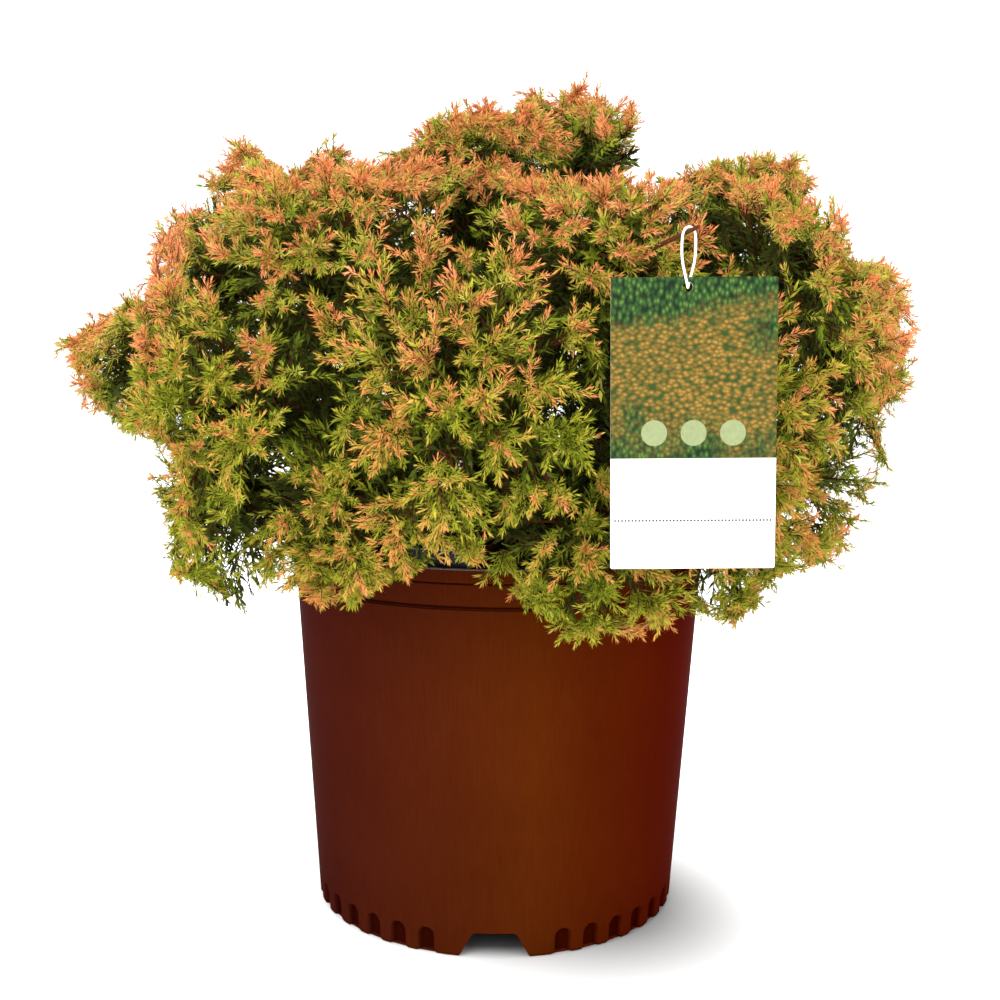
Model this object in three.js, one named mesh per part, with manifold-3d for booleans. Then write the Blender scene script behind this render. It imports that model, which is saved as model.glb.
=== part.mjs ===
// A globe arborvitae in its nursery pot, with a blank hang tag on one of its twigs.
// Millimetres, +Z up. The origin is the centre of the pot's flat underside, the front is -Y.
import * as THREE from "three";
import { mergeVertices } from "three/addons/utils/BufferGeometryUtils.js";
import Module from "manifold-3d";

const wasm = await Module();
wasm.setup();

// Driving dimensions

const SEAT = 0.3; // gap between neighbouring pieces

const POT = {
  height: 210,
  baseRadius: 105,
  rimRadius: 119.5,
  wall: 3,
  facets: 36,
  footRadius: 76, // flat disc in the middle of the underside
  channelWidth: 7, // sloping side of the drain channel between that disc and the skirt
  channelHeight: 14.5,
  grooveHeight: 190,
  grooveDepth: 1.4,
  lipHeight: 7,
  lipProud: 1,
};
const FLUTE = { places: 38, skipped: 1, width: 7.6, height: 13.2, depth: 2.2, arcSteps: 3 };
const DRAIN = { topWidth: 23, bottomWidth: 38, height: 14, depth: 9 };
const SOIL = { top: 187, facets: 20 };
const RIM_LABEL = { azimuth: -107, radius: 111, width: 36, thickness: 1.2, top: 218.5 };

const TRUNK = {
  foot: [-19, -5],
  middle: [-13, -2, 252],
  tip: [0, 0, 336],
  footRadius: 8.5,
  tipRadius: 2.6,
  flare: 4.5,
  flareHeight: 12,
  sides: 8,
  steps: 12,
};
const BOUGH = { footRadius: 2.9, tipRadius: 1.7, sides: 5, steps: 4, rise: 0.09, stagger: 11 };

// Foliage grows in four tiers. Each row is one mass: azimuth in degrees (0 is +X, -90 the front),
// how far its tip reaches from the pot's axis, and how high that tip is. A mass's heart lies at
// heartShare of its reach, and its core measures depth, breadth and height from there.
const TIERS = [
  {
    name: "low",
    boughHeight: 199,
    heartShare: 0.8,
    heartHeight: 242,
    core: [27, 72, 42],
    sprays: 6,
    underTip: false,
    masses: [
      [-163, 204, 167],
      [-119, 184, 192],
      [-74, 174, 171],
      [-36, 176, 171],
      [6, 222, 192],
      [62, 196, 184],
      [128, 196, 184],
    ],
  },
  {
    name: "middle",
    boughHeight: 226,
    heartShare: 0.76,
    heartHeight: 300,
    core: [28, 76, 47],
    sprays: 6,
    underTip: false,
    masses: [
      [179, 262, 322],
      [-138, 234, 284],
      [-96, 222, 292],
      [-52, 222, 292],
      [-4, 256, 312],
      [44, 240, 306],
      [92, 226, 300],
      [136, 240, 304],
    ],
  },
  {
    name: "upper",
    boughHeight: 262,
    heartShare: 0.77,
    heartHeight: 358,
    core: [28, 76, 56],
    sprays: 6,
    underTip: true,
    masses: [
      [172, 216, 398],
      [-124, 190, 392],
      [-72, 186, 386],
      [-30, 222, 386],
      [10, 242, 386],
      [62, 206, 396],
      [118, 204, 400],
    ],
  },
  {
    name: "top",
    boughHeight: 298,
    heartShare: 0.74,
    heartHeight: 414,
    core: [27, 70, 64],
    sprays: 7,
    underTip: true,
    masses: [
      [168, 168, 445],
      [-118, 84, 456],
      [10, 60, 485],
      [-8, 180, 438],
      [96, 112, 452],
    ],
  },
];
const CELL_GAP = 1.4; // clear space between neighbouring masses
const CORE_NOISE = 0.09;
const LIMB_CLEARANCE = 0.8;
const SPRAY = {
  teeth: 2,
  length: 58,
  halfWidth: 12,
  ribHalfWidth: 2.6,
  thickness: 1.9,
  spread: 0.78, // how far over the core's face the outermost sprays root
  splay: 0.75, // how far those sprays lean out
  upturn: 0.3,
  tries: 5,
};
const CROWN_MIDDLE = new THREE.Vector3(0, 0, 285);
const TIP_SLACK = 3; // how far a mass's other sprays may pass the reach and height of its tip

const TAG = {
  width: 72.5,
  height: 126,
  thickness: 0.7,
  centreX: 86.5,
  y: -204,
  bottom: 225,
  holeX: 83,
  holeDrop: 4.2,
  holeRadius: 2.2,
  holeFacets: 8,
  clear: 2.5,
};
const LOOP = { wireRadius: 0.55, halfWidth: 3, height: 26, sides: 4, steps: 30 };
const HOOK = { rootRadius: 2.4, tipRadius: 1, past: 7, sides: 5, tier: "upper", index: 2 };

// Colours and finishes

const FINISH = {
  pot: { color: 0x5e2a17, roughness: 0.55, metalness: 0 },
  soil: { color: 0x2a1c14, roughness: 0.95, metalness: 0 },
  bark: { color: 0x6a4634, roughness: 0.85, metalness: 0 },
  low: { color: 0x7f9a2c, roughness: 0.8, metalness: 0 },
  middle: { color: 0x8f9431, roughness: 0.8, metalness: 0 },
  upper: { color: 0xa8823a, roughness: 0.8, metalness: 0 },
  top: { color: 0xb97a4c, roughness: 0.8, metalness: 0 },
  tag: { color: 0xe9ece4, roughness: 0.45, metalness: 0 },
  loop: { color: 0xf2f2ee, roughness: 0.5, metalness: 0 },
  label: { color: 0x1f1a22, roughness: 0.5, metalness: 0 },
};

// Helpers

const UP = new THREE.Vector3(0, 0, 1);
const radians = THREE.MathUtils.degToRad;

function seededRandom(seed) {
  let state = seed >>> 0;
  return () => {
    state = (state + 0x6d2b79f5) >>> 0;
    let t = state;
    t = Math.imul(t ^ (t >>> 15), t | 1);
    t ^= t + Math.imul(t ^ (t >>> 7), t | 61);
    return ((t ^ (t >>> 14)) >>> 0) / 4294967296;
  };
}

function polar(azimuth, radius, height) {
  const a = radians(azimuth);
  return new THREE.Vector3(radius * Math.cos(a), radius * Math.sin(a), height);
}

function welded(geometry) {
  const bare = geometry.index ? geometry.toNonIndexed() : geometry.clone();
  bare.deleteAttribute("normal");
  bare.deleteAttribute("uv");
  return mergeVertices(bare, 1e-4);
}

function solidOf(geometry) {
  const shell = welded(geometry);
  return new wasm.Manifold(
    new wasm.Mesh({
      numProp: 3,
      vertProperties: new Float32Array(shell.attributes.position.array),
      triVerts: new Uint32Array(shell.index.array),
    }),
  );
}

function geometryOf(solid) {
  const mesh = solid.getMesh();
  const geometry = new THREE.BufferGeometry();
  geometry.setAttribute("position", new THREE.BufferAttribute(mesh.vertProperties, 3));
  geometry.setIndex(new THREE.BufferAttribute(mesh.triVerts, 1));
  return geometry;
}

// The largest body of a solid, without the scraps that a cut leaves.
function largestBody(solid) {
  const bodies = solid.decompose();
  bodies.sort((a, b) => b.volume() - a.volume());
  return bodies[0];
}

const shrub = new THREE.Group();

function addNode(name, geometry, finish) {
  const material = new THREE.MeshStandardMaterial(FINISH[finish]);
  material.flatShading = true;
  geometry.computeVertexNormals();
  const mesh = new THREE.Mesh(geometry, material);
  mesh.name = name;
  shrub.add(mesh);
}

// A closed tube along a curve whose radius follows radiusAt(u), with u from 0 at its foot to 1.
function limb(curve, radiusAt, sides, steps) {
  const frames = curve.computeFrenetFrames(steps, false);
  const geometry = new THREE.CylinderGeometry(1, 1, 1, sides, steps);
  const position = geometry.attributes.position;
  const point = new THREE.Vector3();
  for (let i = 0; i < position.count; i++) {
    const step = Math.round((position.getY(i) + 0.5) * steps);
    const u = step / steps;
    const radius = radiusAt(u);
    point
      .copy(curve.getPointAt(u))
      .addScaledVector(frames.normals[step], position.getX(i) * radius)
      .addScaledVector(frames.binormals[step], -position.getZ(i) * radius);
    position.setXYZ(i, point.x, point.y, point.z);
  }
  return geometry;
}

const taper = (from, to) => (u) => from + (to - from) * u;

// Pot

function wallRadius(z) {
  return POT.baseRadius + ((POT.rimRadius - POT.baseRadius) * z) / POT.height;
}

function innerRadius(z) {
  return wallRadius(z) - POT.wall;
}

// Floor profile from the axis to the wall: the foot disc, then the raised drain channel.
function floorProfile(offset) {
  const channelTop = POT.channelHeight + offset;
  return [
    [0, offset],
    [POT.footRadius - offset / 2, offset],
    [POT.footRadius - offset / 2 + POT.channelWidth, channelTop],
  ];
}

function potGeometry() {
  const grooveHalf = POT.grooveDepth;
  const lipFoot = POT.height - POT.lipHeight;
  const lipRadius = wallRadius(POT.height) + POT.lipProud;
  const outside = [
    [POT.baseRadius - POT.wall, POT.channelHeight],
    [POT.baseRadius - POT.wall, 0],
    [POT.baseRadius - 0.8, 0],
    [wallRadius(1.5), 1.5],
    [wallRadius(POT.grooveHeight - grooveHalf), POT.grooveHeight - grooveHalf],
    [wallRadius(POT.grooveHeight) - POT.grooveDepth, POT.grooveHeight],
    [wallRadius(POT.grooveHeight + grooveHalf) + 0.4, POT.grooveHeight + grooveHalf],
    [wallRadius(lipFoot) + 0.2, lipFoot],
    [lipRadius, lipFoot + 0.8],
    [lipRadius, POT.height - 0.8],
    [lipRadius - 0.8, POT.height],
  ];
  const inside = [
    [innerRadius(POT.height), POT.height],
    [innerRadius(POT.channelHeight + POT.wall), POT.channelHeight + POT.wall],
    ...floorProfile(POT.wall).reverse(),
  ];
  const profile = [...floorProfile(0), ...outside, ...inside];
  const points = profile.map(([r, z]) => new THREE.Vector2(r, z));
  return new THREE.LatheGeometry(points, POT.facets).rotateX(Math.PI / 2);
}

// A cutter that runs outwards along +X from the given radius, with its outline in Y and Z.
function radialCutter(shape, fromRadius, length, azimuth) {
  const geometry = new THREE.ExtrudeGeometry(shape, {
    depth: length,
    bevelEnabled: false,
    curveSegments: FLUTE.arcSteps,
  });
  const outwards = new THREE.Matrix4().makeBasis(
    new THREE.Vector3(0, 1, 0),
    new THREE.Vector3(0, 0, 1),
    new THREE.Vector3(1, 0, 0),
  );
  geometry.applyMatrix4(outwards);
  geometry.translate(fromRadius, 0, 0);
  return geometry.rotateZ(radians(azimuth));
}

function fluteShape() {
  const half = FLUTE.width / 2;
  const shape = new THREE.Shape();
  shape.moveTo(-half, -1);
  shape.lineTo(half, -1);
  shape.lineTo(half, FLUTE.height - half);
  shape.absarc(0, FLUTE.height - half, half, 0, Math.PI, false);
  shape.closePath();
  return shape;
}

function drainShape() {
  const shape = new THREE.Shape();
  const spread = (DRAIN.bottomWidth - DRAIN.topWidth) / DRAIN.height / 2;
  shape.moveTo(-DRAIN.bottomWidth / 2 - spread, -1);
  shape.lineTo(DRAIN.bottomWidth / 2 + spread, -1);
  shape.lineTo(DRAIN.topWidth / 2, DRAIN.height);
  shape.lineTo(-DRAIN.topWidth / 2, DRAIN.height);
  shape.closePath();
  return shape;
}

function potWithFlutes() {
  let pot = solidOf(potGeometry());
  const pitch = 360 / FLUTE.places;
  const half = FLUTE.places / 2;
  for (let k = FLUTE.skipped + 1; k <= half - FLUTE.skipped - 1; k++) {
    for (const side of [-1, 1]) {
      const azimuth = -90 + side * k * pitch;
      const cutter = radialCutter(
        fluteShape(),
        POT.baseRadius - FLUTE.depth,
        FLUTE.depth + 8,
        azimuth,
      );
      pot = pot.subtract(solidOf(cutter));
    }
  }
  for (const azimuth of [-90, 90]) {
    const from = POT.baseRadius - POT.wall - DRAIN.depth + 4;
    const cutter = radialCutter(drainShape(), from, DRAIN.depth + 8, azimuth);
    pot = pot.subtract(solidOf(cutter));
  }
  return geometryOf(pot);
}

function soilGeometry() {
  const floor = floorProfile(POT.wall + SEAT);
  const channelTop = POT.channelHeight + POT.wall + SEAT;
  const profile = [
    ...floor,
    [innerRadius(channelTop) - SEAT * 2, channelTop],
    [innerRadius(SOIL.top) - SEAT * 2, SOIL.top],
    [TRUNK.footRadius * 6, SOIL.top],
    [0, SOIL.top],
  ];
  const points = profile.map(([r, z]) => new THREE.Vector2(r, z));
  return new THREE.LatheGeometry(points, SOIL.facets).rotateX(Math.PI / 2);
}

function rimLabelGeometry() {
  const foot = SOIL.top + SEAT;
  const height = RIM_LABEL.top - foot;
  const geometry = new THREE.BoxGeometry(RIM_LABEL.thickness, RIM_LABEL.width, height);
  geometry.translate(RIM_LABEL.radius, 0, foot + height / 2);
  return geometry.rotateZ(radians(RIM_LABEL.azimuth));
}

// Trunk and boughs

const trunkFoot = SOIL.top + SEAT;
const trunkCurve = new THREE.QuadraticBezierCurve3(
  new THREE.Vector3(...TRUNK.foot, trunkFoot),
  new THREE.Vector3(...TRUNK.middle),
  new THREE.Vector3(...TRUNK.tip),
);

function trunkRadius(u) {
  const rise = u * (TRUNK.tip[2] - trunkFoot);
  const flare = TRUNK.flare * Math.max(0, 1 - rise / TRUNK.flareHeight) ** 2;
  return taper(TRUNK.footRadius, TRUNK.tipRadius)(u) + flare;
}

function trunkGeometry() {
  // The foot is cut flat and level where the stem meets the soil.
  const geometry = limb(trunkCurve, trunkRadius, TRUNK.sides, TRUNK.steps);
  const position = geometry.attributes.position;
  const slack = TRUNK.flare + 1;
  for (let i = 0; i < position.count; i++) {
    if (position.getZ(i) < trunkFoot + slack) position.setZ(i, trunkFoot);
  }
  return geometry;
}

// How far up the trunk, as a share of its length, it passes the given height.
function trunkShareAt(height) {
  let u = 0;
  while (u < 1 && trunkCurve.getPointAt(u).z < height) u += 0.005;
  return Math.min(u, 1);
}

// Masses: where each one's heart, tip and stem lie

const masses = [];
for (const tier of TIERS) {
  tier.masses.forEach(([azimuth, reach, tipHeight], index) => {
    const tip = polar(azimuth, reach, tipHeight);
    const meanTip = tier.masses.reduce((sum, row) => sum + row[2], 0) / tier.masses.length;
    const heartHeight = tier.heartHeight + 0.5 * (tipHeight - meanTip);
    const heart = polar(azimuth, reach * tier.heartShare, heartHeight);
    const boughHeight = tier.boughHeight + (index % 3) * BOUGH.stagger;
    const footShare = trunkShareAt(boughHeight);
    const foot = trunkCurve.getPointAt(footShare);
    const inward = foot.clone().sub(heart).normalize();
    const stemLength = tier.core[0] + 8;
    const stemStart = heart.clone().addScaledVector(inward, stemLength);
    masses.push({
      name: `${tier.name}_${index + 1}`,
      tier,
      index,
      azimuth,
      heart,
      tip,
      foot,
      footShare,
      inward,
      stemStart,
    });
  });
}

// A bough springs from the trunk's bark, clear of it by the seat, and ends at its mass's stem.
function boughCurve(mass) {
  const end = mass.stemStart.clone().addScaledVector(mass.inward, SEAT);
  const span = end.distanceTo(mass.foot);
  const bend = end.clone().addScaledVector(mass.inward, span * 0.45);
  bend.addScaledVector(UP, span * BOUGH.rise);
  const out = bend.clone().sub(mass.foot).normalize();
  const level = Math.hypot(out.x, out.y);
  const bark = trunkRadius(mass.footShare) + SEAT * 1.5;
  const foot = mass.foot.clone().addScaledVector(out, (bark + BOUGH.footRadius * out.z) / level);
  return new THREE.QuadraticBezierCurve3(foot, bend, end);
}

function boughGeometry(mass, grown = 0) {
  const radiusAt = (u) => taper(BOUGH.footRadius, BOUGH.tipRadius)(u) + grown;
  return limb(boughCurve(mass), radiusAt, BOUGH.sides, BOUGH.steps);
}

// Each mass keeps to its own cell: the points nearer to its heart than to any other heart, within the
// reach of its tip and clear of the pot's rim. A plane holds the points p with normal . p <= offset.
function cellPlanes(mass) {
  const planes = masses
    .filter((other) => other !== mass)
    .map((other) => {
      const normal = other.heart.clone().sub(mass.heart).normalize();
      const middle = other.heart.clone().add(mass.heart).multiplyScalar(0.5);
      return { normal, offset: normal.dot(middle) - CELL_GAP / 2 };
    });
  if (mass.tier.underTip) planes.push({ normal: UP, offset: mass.tip.z + TIP_SLACK });
  const outwards = polar(mass.azimuth, 1, 0);
  planes.push({ normal: outwards, offset: outwards.dot(mass.tip) + TIP_SLACK });
  const rimPoint = polar(mass.azimuth, POT.rimRadius + 4, POT.height + 4);
  const slope = mass.tier.name === "low" ? -1 : 0;
  const normal = polar(mass.azimuth, slope, -1).normalize();
  planes.push({ normal, offset: normal.dot(rimPoint) });
  return planes;
}

function insideCell(point, planes) {
  return planes.every(({ normal, offset }) => normal.dot(point) <= offset);
}

function nearTag(point) {
  const inX = Math.abs(point.x - TAG.centreX) < TAG.width / 2 + TAG.clear;
  const top = TAG.bottom + TAG.height + LOOP.height + TAG.clear;
  const inZ = point.z > TAG.bottom - TAG.clear && point.z < top;
  return inX && inZ && point.y < TAG.y + TAG.clear;
}

// A core's own axes, as long as its half sizes: outward, level and upright.
function coreAxes(mass) {
  const [depth, breadth, tall] = mass.tier.core;
  const outward = mass.heart.clone().sub(CROWN_MIDDLE).normalize();
  const level = new THREE.Vector3().crossVectors(UP, outward).normalize();
  const upright = new THREE.Vector3().crossVectors(outward, level);
  outward.multiplyScalar(depth);
  level.multiplyScalar(breadth);
  upright.multiplyScalar(tall);
  return { outward, level, upright };
}

// The share of a ray from the heart that stays inside the mass's cell.
function shareInCell(ray, mass, planes) {
  let share = 1;
  for (const { normal, offset } of planes) {
    const climb = normal.dot(ray);
    if (climb > 0) share = Math.min(share, (offset - normal.dot(mass.heart)) / climb);
  }
  return share;
}

// The lumpy core that the sprays stand out of, pulled in wherever it would leave its cell.
function coreGeometry(mass, planes, random) {
  const geometry = welded(new THREE.IcosahedronGeometry(1, 1));
  const position = geometry.attributes.position;
  const { outward, level, upright } = coreAxes(mass);
  const shape = new THREE.Matrix4().makeBasis(outward, level, upright);
  const ray = new THREE.Vector3();
  for (let i = 0; i < position.count; i++) {
    const swell = 1 + CORE_NOISE * (2 * random() - 1);
    ray.fromBufferAttribute(position, i);
    ray.applyMatrix4(shape).multiplyScalar(swell);
    ray.multiplyScalar(shareInCell(ray, mass, planes)).add(mass.heart);
    position.setXYZ(i, ray.x, ray.y, ray.z);
  }
  return geometry;
}

// Half of a spray's toothed outline, root to tip, as shares of its length and half width.
function sprayShape(length, halfWidth) {
  const rib = SPRAY.ribHalfWidth;
  const half = [[0, rib]];
  const pitch = 0.34;
  for (let k = 0; k < SPRAY.teeth; k++) {
    const reach = 0.58 + k * pitch * 0.68;
    const shrink = 1 - 0.36 * k;
    half.push([length * (reach - pitch * 0.52), rib * shrink]);
    half.push([length * reach, halfWidth * shrink]);
  }
  const tip = [length, 0];
  const other = half.map(([u, v]) => [u, -v]).reverse();
  return new THREE.Shape([...half, tip, ...other].map(([u, v]) => new THREE.Vector2(u, v)));
}

function sprayPlacement(root, direction, roll) {
  const side = new THREE.Vector3().crossVectors(direction, UP);
  if (side.lengthSq() < 0.01) side.set(1, 0, 0);
  side.normalize().applyAxisAngle(direction, roll);
  const face = new THREE.Vector3().crossVectors(direction, side);
  return new THREE.Matrix4().makeBasis(direction, side, face).setPosition(root);
}

function sprayFits(geometry, planes, limbs) {
  const position = geometry.attributes.position;
  const point = new THREE.Vector3();
  for (let i = 0; i < position.count; i++) {
    point.fromBufferAttribute(position, i);
    if (!insideCell(point, planes) || nearTag(point)) return false;
    if (limbs.some((joint) => joint.distanceTo(point) < LIMB_CLEARANCE * 5)) return false;
  }
  return true;
}

// One spray from its root, shortened until it fits its cell, or null if it never does.
function spraySolid(planes, limbs, root, direction, length, roll) {
  let grown = length;
  for (let k = 0; k < SPRAY.tries; k++) {
    const halfWidth = (SPRAY.halfWidth * grown) / SPRAY.length;
    const geometry = new THREE.ExtrudeGeometry(sprayShape(grown, halfWidth), {
      depth: SPRAY.thickness,
      bevelEnabled: false,
    });
    geometry.translate(0, 0, -SPRAY.thickness / 2);
    geometry.applyMatrix4(sprayPlacement(root, direction, roll));
    if (sprayFits(geometry, planes, limbs)) return solidOf(geometry);
    grown *= 0.9;
  }
  return null;
}

// The twig that the tag's loop hangs on, from the heart of one mass to just past the loop.
function hookTwig(mass) {
  const hook = hookPoint();
  const out = hook.clone().sub(mass.heart).normalize();
  const tip = hook.clone().addScaledVector(out, HOOK.past);
  const curve = new THREE.LineCurve3(mass.heart, tip);
  return solidOf(limb(curve, taper(HOOK.rootRadius, HOOK.tipRadius), HOOK.sides, 1));
}

function hookPoint() {
  const top = TAG.bottom + TAG.height - TAG.holeDrop + LOOP.height;
  const below = 2 * LOOP.wireRadius + SEAT + HOOK.tipRadius * 1.2;
  return new THREE.Vector3(TAG.holeX, TAG.y, top - below);
}

function massSolid(mass, seed, limbs) {
  const random = seededRandom(seed);
  const planes = cellPlanes(mass);
  let solid = solidOf(coreGeometry(mass, planes, random));
  const stemCurve = new THREE.LineCurve3(mass.stemStart, mass.heart);
  solid = solid.add(solidOf(limb(stemCurve, () => BOUGH.tipRadius, BOUGH.sides, 1)));
  const { outward, level, upright } = coreAxes(mass);
  const golden = Math.PI * (3 - Math.sqrt(5));
  for (let k = 0; k < mass.tier.sprays; k++) {
    const turn = k * golden + 0.5 * random();
    const ring = Math.sqrt(k / (mass.tier.sprays - 1));
    const sideways = level.clone().multiplyScalar(ring * Math.cos(turn));
    sideways.addScaledVector(upright, ring * Math.sin(turn));
    const root = sideways.clone().multiplyScalar(SPRAY.spread);
    root.multiplyScalar(shareInCell(root, mass, planes) * 0.9).add(mass.heart);
    const direction = outward.clone().normalize();
    direction.addScaledVector(sideways, SPRAY.splay / level.length());
    direction.addScaledVector(UP, SPRAY.upturn * random()).normalize();
    let length = SPRAY.length * (0.85 + 0.3 * random());
    if (k === 0) {
      direction.copy(mass.tip).sub(mass.heart);
      length = direction.length();
      direction.normalize();
    }
    const spray = spraySolid(planes, limbs, root, direction, length, Math.PI * random());
    if (spray) solid = solid.add(spray);
  }
  if (mass.tier.name === HOOK.tier && mass.index === HOOK.index) {
    solid = solid.add(hookTwig(mass));
  }
  return solid;
}

// Tag and its loop

function tagGeometry() {
  const shape = new THREE.Shape();
  const left = TAG.centreX - TAG.width / 2;
  const right = TAG.centreX + TAG.width / 2;
  const top = TAG.bottom + TAG.height;
  shape.moveTo(left, TAG.bottom);
  shape.lineTo(right, TAG.bottom);
  shape.lineTo(right, top);
  shape.lineTo(left, top);
  shape.closePath();
  const hole = new THREE.Path();
  hole.absarc(TAG.holeX, top - TAG.holeDrop, TAG.holeRadius, 0, 2 * Math.PI, true);
  shape.holes.push(hole);
  const geometry = new THREE.ExtrudeGeometry(shape, {
    depth: TAG.thickness,
    bevelEnabled: false,
    curveSegments: TAG.holeFacets,
  });
  geometry.rotateX(Math.PI / 2);
  return geometry.translate(0, TAG.y + TAG.thickness / 2, 0);
}

// An elastic loop that passes through the tag's hole and closes over the twig.
function loopGeometry() {
  const hole = new THREE.Vector3(TAG.holeX, TAG.y, TAG.bottom + TAG.height - TAG.holeDrop);
  const proud = TAG.thickness / 2 + SEAT + LOOP.wireRadius;
  const wide = LOOP.halfWidth;
  const top = LOOP.height - LOOP.wireRadius;
  const halfRoute = [
    [-0.4, -proud * 1.05, 0.7],
    [-1.2, -proud * 1.1, TAG.holeDrop],
    [-wide, -proud * 0.6, top * 0.45],
    [-wide, -0.1, top * 0.83],
    [-wide * 0.66, 0, top * 0.96],
  ];
  const back = halfRoute.map(([x, y, z]) => [-x, -y, z]).reverse();
  const route = [[0, 0, -0.6], ...halfRoute, [0, 0, top], ...back];
  const points = route.map(([x, y, z]) => new THREE.Vector3(x, y, z).add(hole));
  const curve = new THREE.CatmullRomCurve3(points, true);
  return new THREE.TubeGeometry(curve, LOOP.steps, LOOP.wireRadius, LOOP.sides, true);
}

// Assembly

addNode("pot", potWithFlutes(), "pot");
addNode("soil", soilGeometry(), "soil");
addNode("rim_label", rimLabelGeometry(), "label");
addNode("trunk", trunkGeometry(), "bark");

for (const mass of masses) {
  addNode(`bough_${mass.name}`, welded(boughGeometry(mass)), "bark");
}

masses.forEach((mass, index) => {
  const limbs = masses
    .filter((other) => other !== mass)
    .flatMap((other) => boughCurve(other).getSpacedPoints(12));
  let solid = massSolid(mass, 101 + index, limbs);
  for (const other of masses) {
    if (other === mass) continue;
    const grown = solidOf(boughGeometry(other, LIMB_CLEARANCE));
    if (solid.intersect(grown).volume() > 0) solid = largestBody(solid.subtract(grown));
  }
  addNode(`foliage_${mass.name}`, geometryOf(solid), mass.tier.name);
});

addNode("tag", tagGeometry(), "tag");
addNode("tag_loop", loopGeometry(), "loop");

export default shrub;
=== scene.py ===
"""A globe arborvitae in its nursery pot, with a hang tag on one twig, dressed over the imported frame.

Lengths are metres, +Z is up, the front is -Y, and the origin is the centre of the pot's underside.
"""

import logging
import math
from dataclasses import dataclass, field
from enum import Enum

import bmesh
import bpy
import numpy as np
from mathutils import Matrix, Vector, noise


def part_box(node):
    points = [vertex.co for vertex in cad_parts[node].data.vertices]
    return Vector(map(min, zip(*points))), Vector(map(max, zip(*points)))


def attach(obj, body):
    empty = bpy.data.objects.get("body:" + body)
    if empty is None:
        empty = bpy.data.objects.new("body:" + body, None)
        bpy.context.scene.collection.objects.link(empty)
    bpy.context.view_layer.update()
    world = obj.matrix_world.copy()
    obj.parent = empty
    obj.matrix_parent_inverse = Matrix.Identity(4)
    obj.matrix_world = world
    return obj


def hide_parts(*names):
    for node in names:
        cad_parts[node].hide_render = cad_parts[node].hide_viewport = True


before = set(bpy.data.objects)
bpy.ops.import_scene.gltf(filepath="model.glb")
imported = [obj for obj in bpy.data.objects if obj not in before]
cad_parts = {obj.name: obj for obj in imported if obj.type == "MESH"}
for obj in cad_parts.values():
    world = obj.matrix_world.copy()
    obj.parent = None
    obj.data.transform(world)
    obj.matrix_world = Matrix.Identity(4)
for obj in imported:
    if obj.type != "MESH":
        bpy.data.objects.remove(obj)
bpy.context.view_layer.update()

Array = np.ndarray
Triple = tuple[float, float, float]
Socket = bpy.types.NodeSocket
Material = bpy.types.Material
Mesh = bpy.types.Mesh
Piece = bpy.types.Object
Shape = bmesh.types.BMesh

LOG = logging.getLogger("arborvitae")
MM = 0.001
SEAT = 0.3 * MM
GOLDEN_TURN = math.pi * (3 - math.sqrt(5))
UP = np.array([0.0, 0.0, 1.0])
CROWN_MIDDLE = (0.0, 0.0, 285 * MM)
# The mesh attribute of flute depth that drives the pot's painted shade
FLUTE_SHADE_DEPTH = "recess"


# Colours


def linear(code: str) -> tuple[float, float, float, float]:
    """A colour written as six hexadecimal digits in sRGB, as linear values for a shader.

    Args:
        code: The colour, such as "7a3b1c".

    Returns:
        Red, green, blue and an alpha of one.
    """
    channels = [int(code[i : i + 2], 16) / 255 for i in (0, 2, 4)]
    values = [c / 12.92 if c <= 0.04045 else ((c + 0.055) / 1.055) ** 2.4 for c in channels]
    return (values[0], values[1], values[2], 1.0)


class Tint(Enum):
    """The colours of the needles, from the shaded inside of the crown to its sunlit tips."""

    SHADE = "3c4418"
    MOSS = "606c22"
    GREEN = "748222"
    LEAF = "828a24"
    LIME = "989a2e"
    STRAW = "aa9c38"
    HONEY = "be9646"
    PEACH = "ca8a4a"
    OLIVE = "adab44"
    BRONZE = "c1a14e"
    RUST = "c9844e"
    CORAL = "d28650"
    SALMON = "de9464"


# Each tint with the distance from a plume's young end up to which needles have it


SHELTERED = (
    (Tint.PEACH, 4.3 * MM),
    (Tint.HONEY, 6.8 * MM),
    (Tint.STRAW, 10 * MM),
    (Tint.LIME, 15 * MM),
    (Tint.LEAF, 22 * MM),
    (Tint.GREEN, 32 * MM),
    (Tint.MOSS, 44 * MM),
    (Tint.SHADE, 1.0),
)
SUNLIT = (
    (Tint.SALMON, 4 * MM),
    (Tint.CORAL, 7.5 * MM),
    (Tint.RUST, 9.5 * MM),
    (Tint.BRONZE, 12.5 * MM),
    (Tint.OLIVE, 21 * MM),
    (Tint.GREEN, 32 * MM),
    (Tint.MOSS, 44 * MM),
    (Tint.SHADE, 1.0),
)


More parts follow.
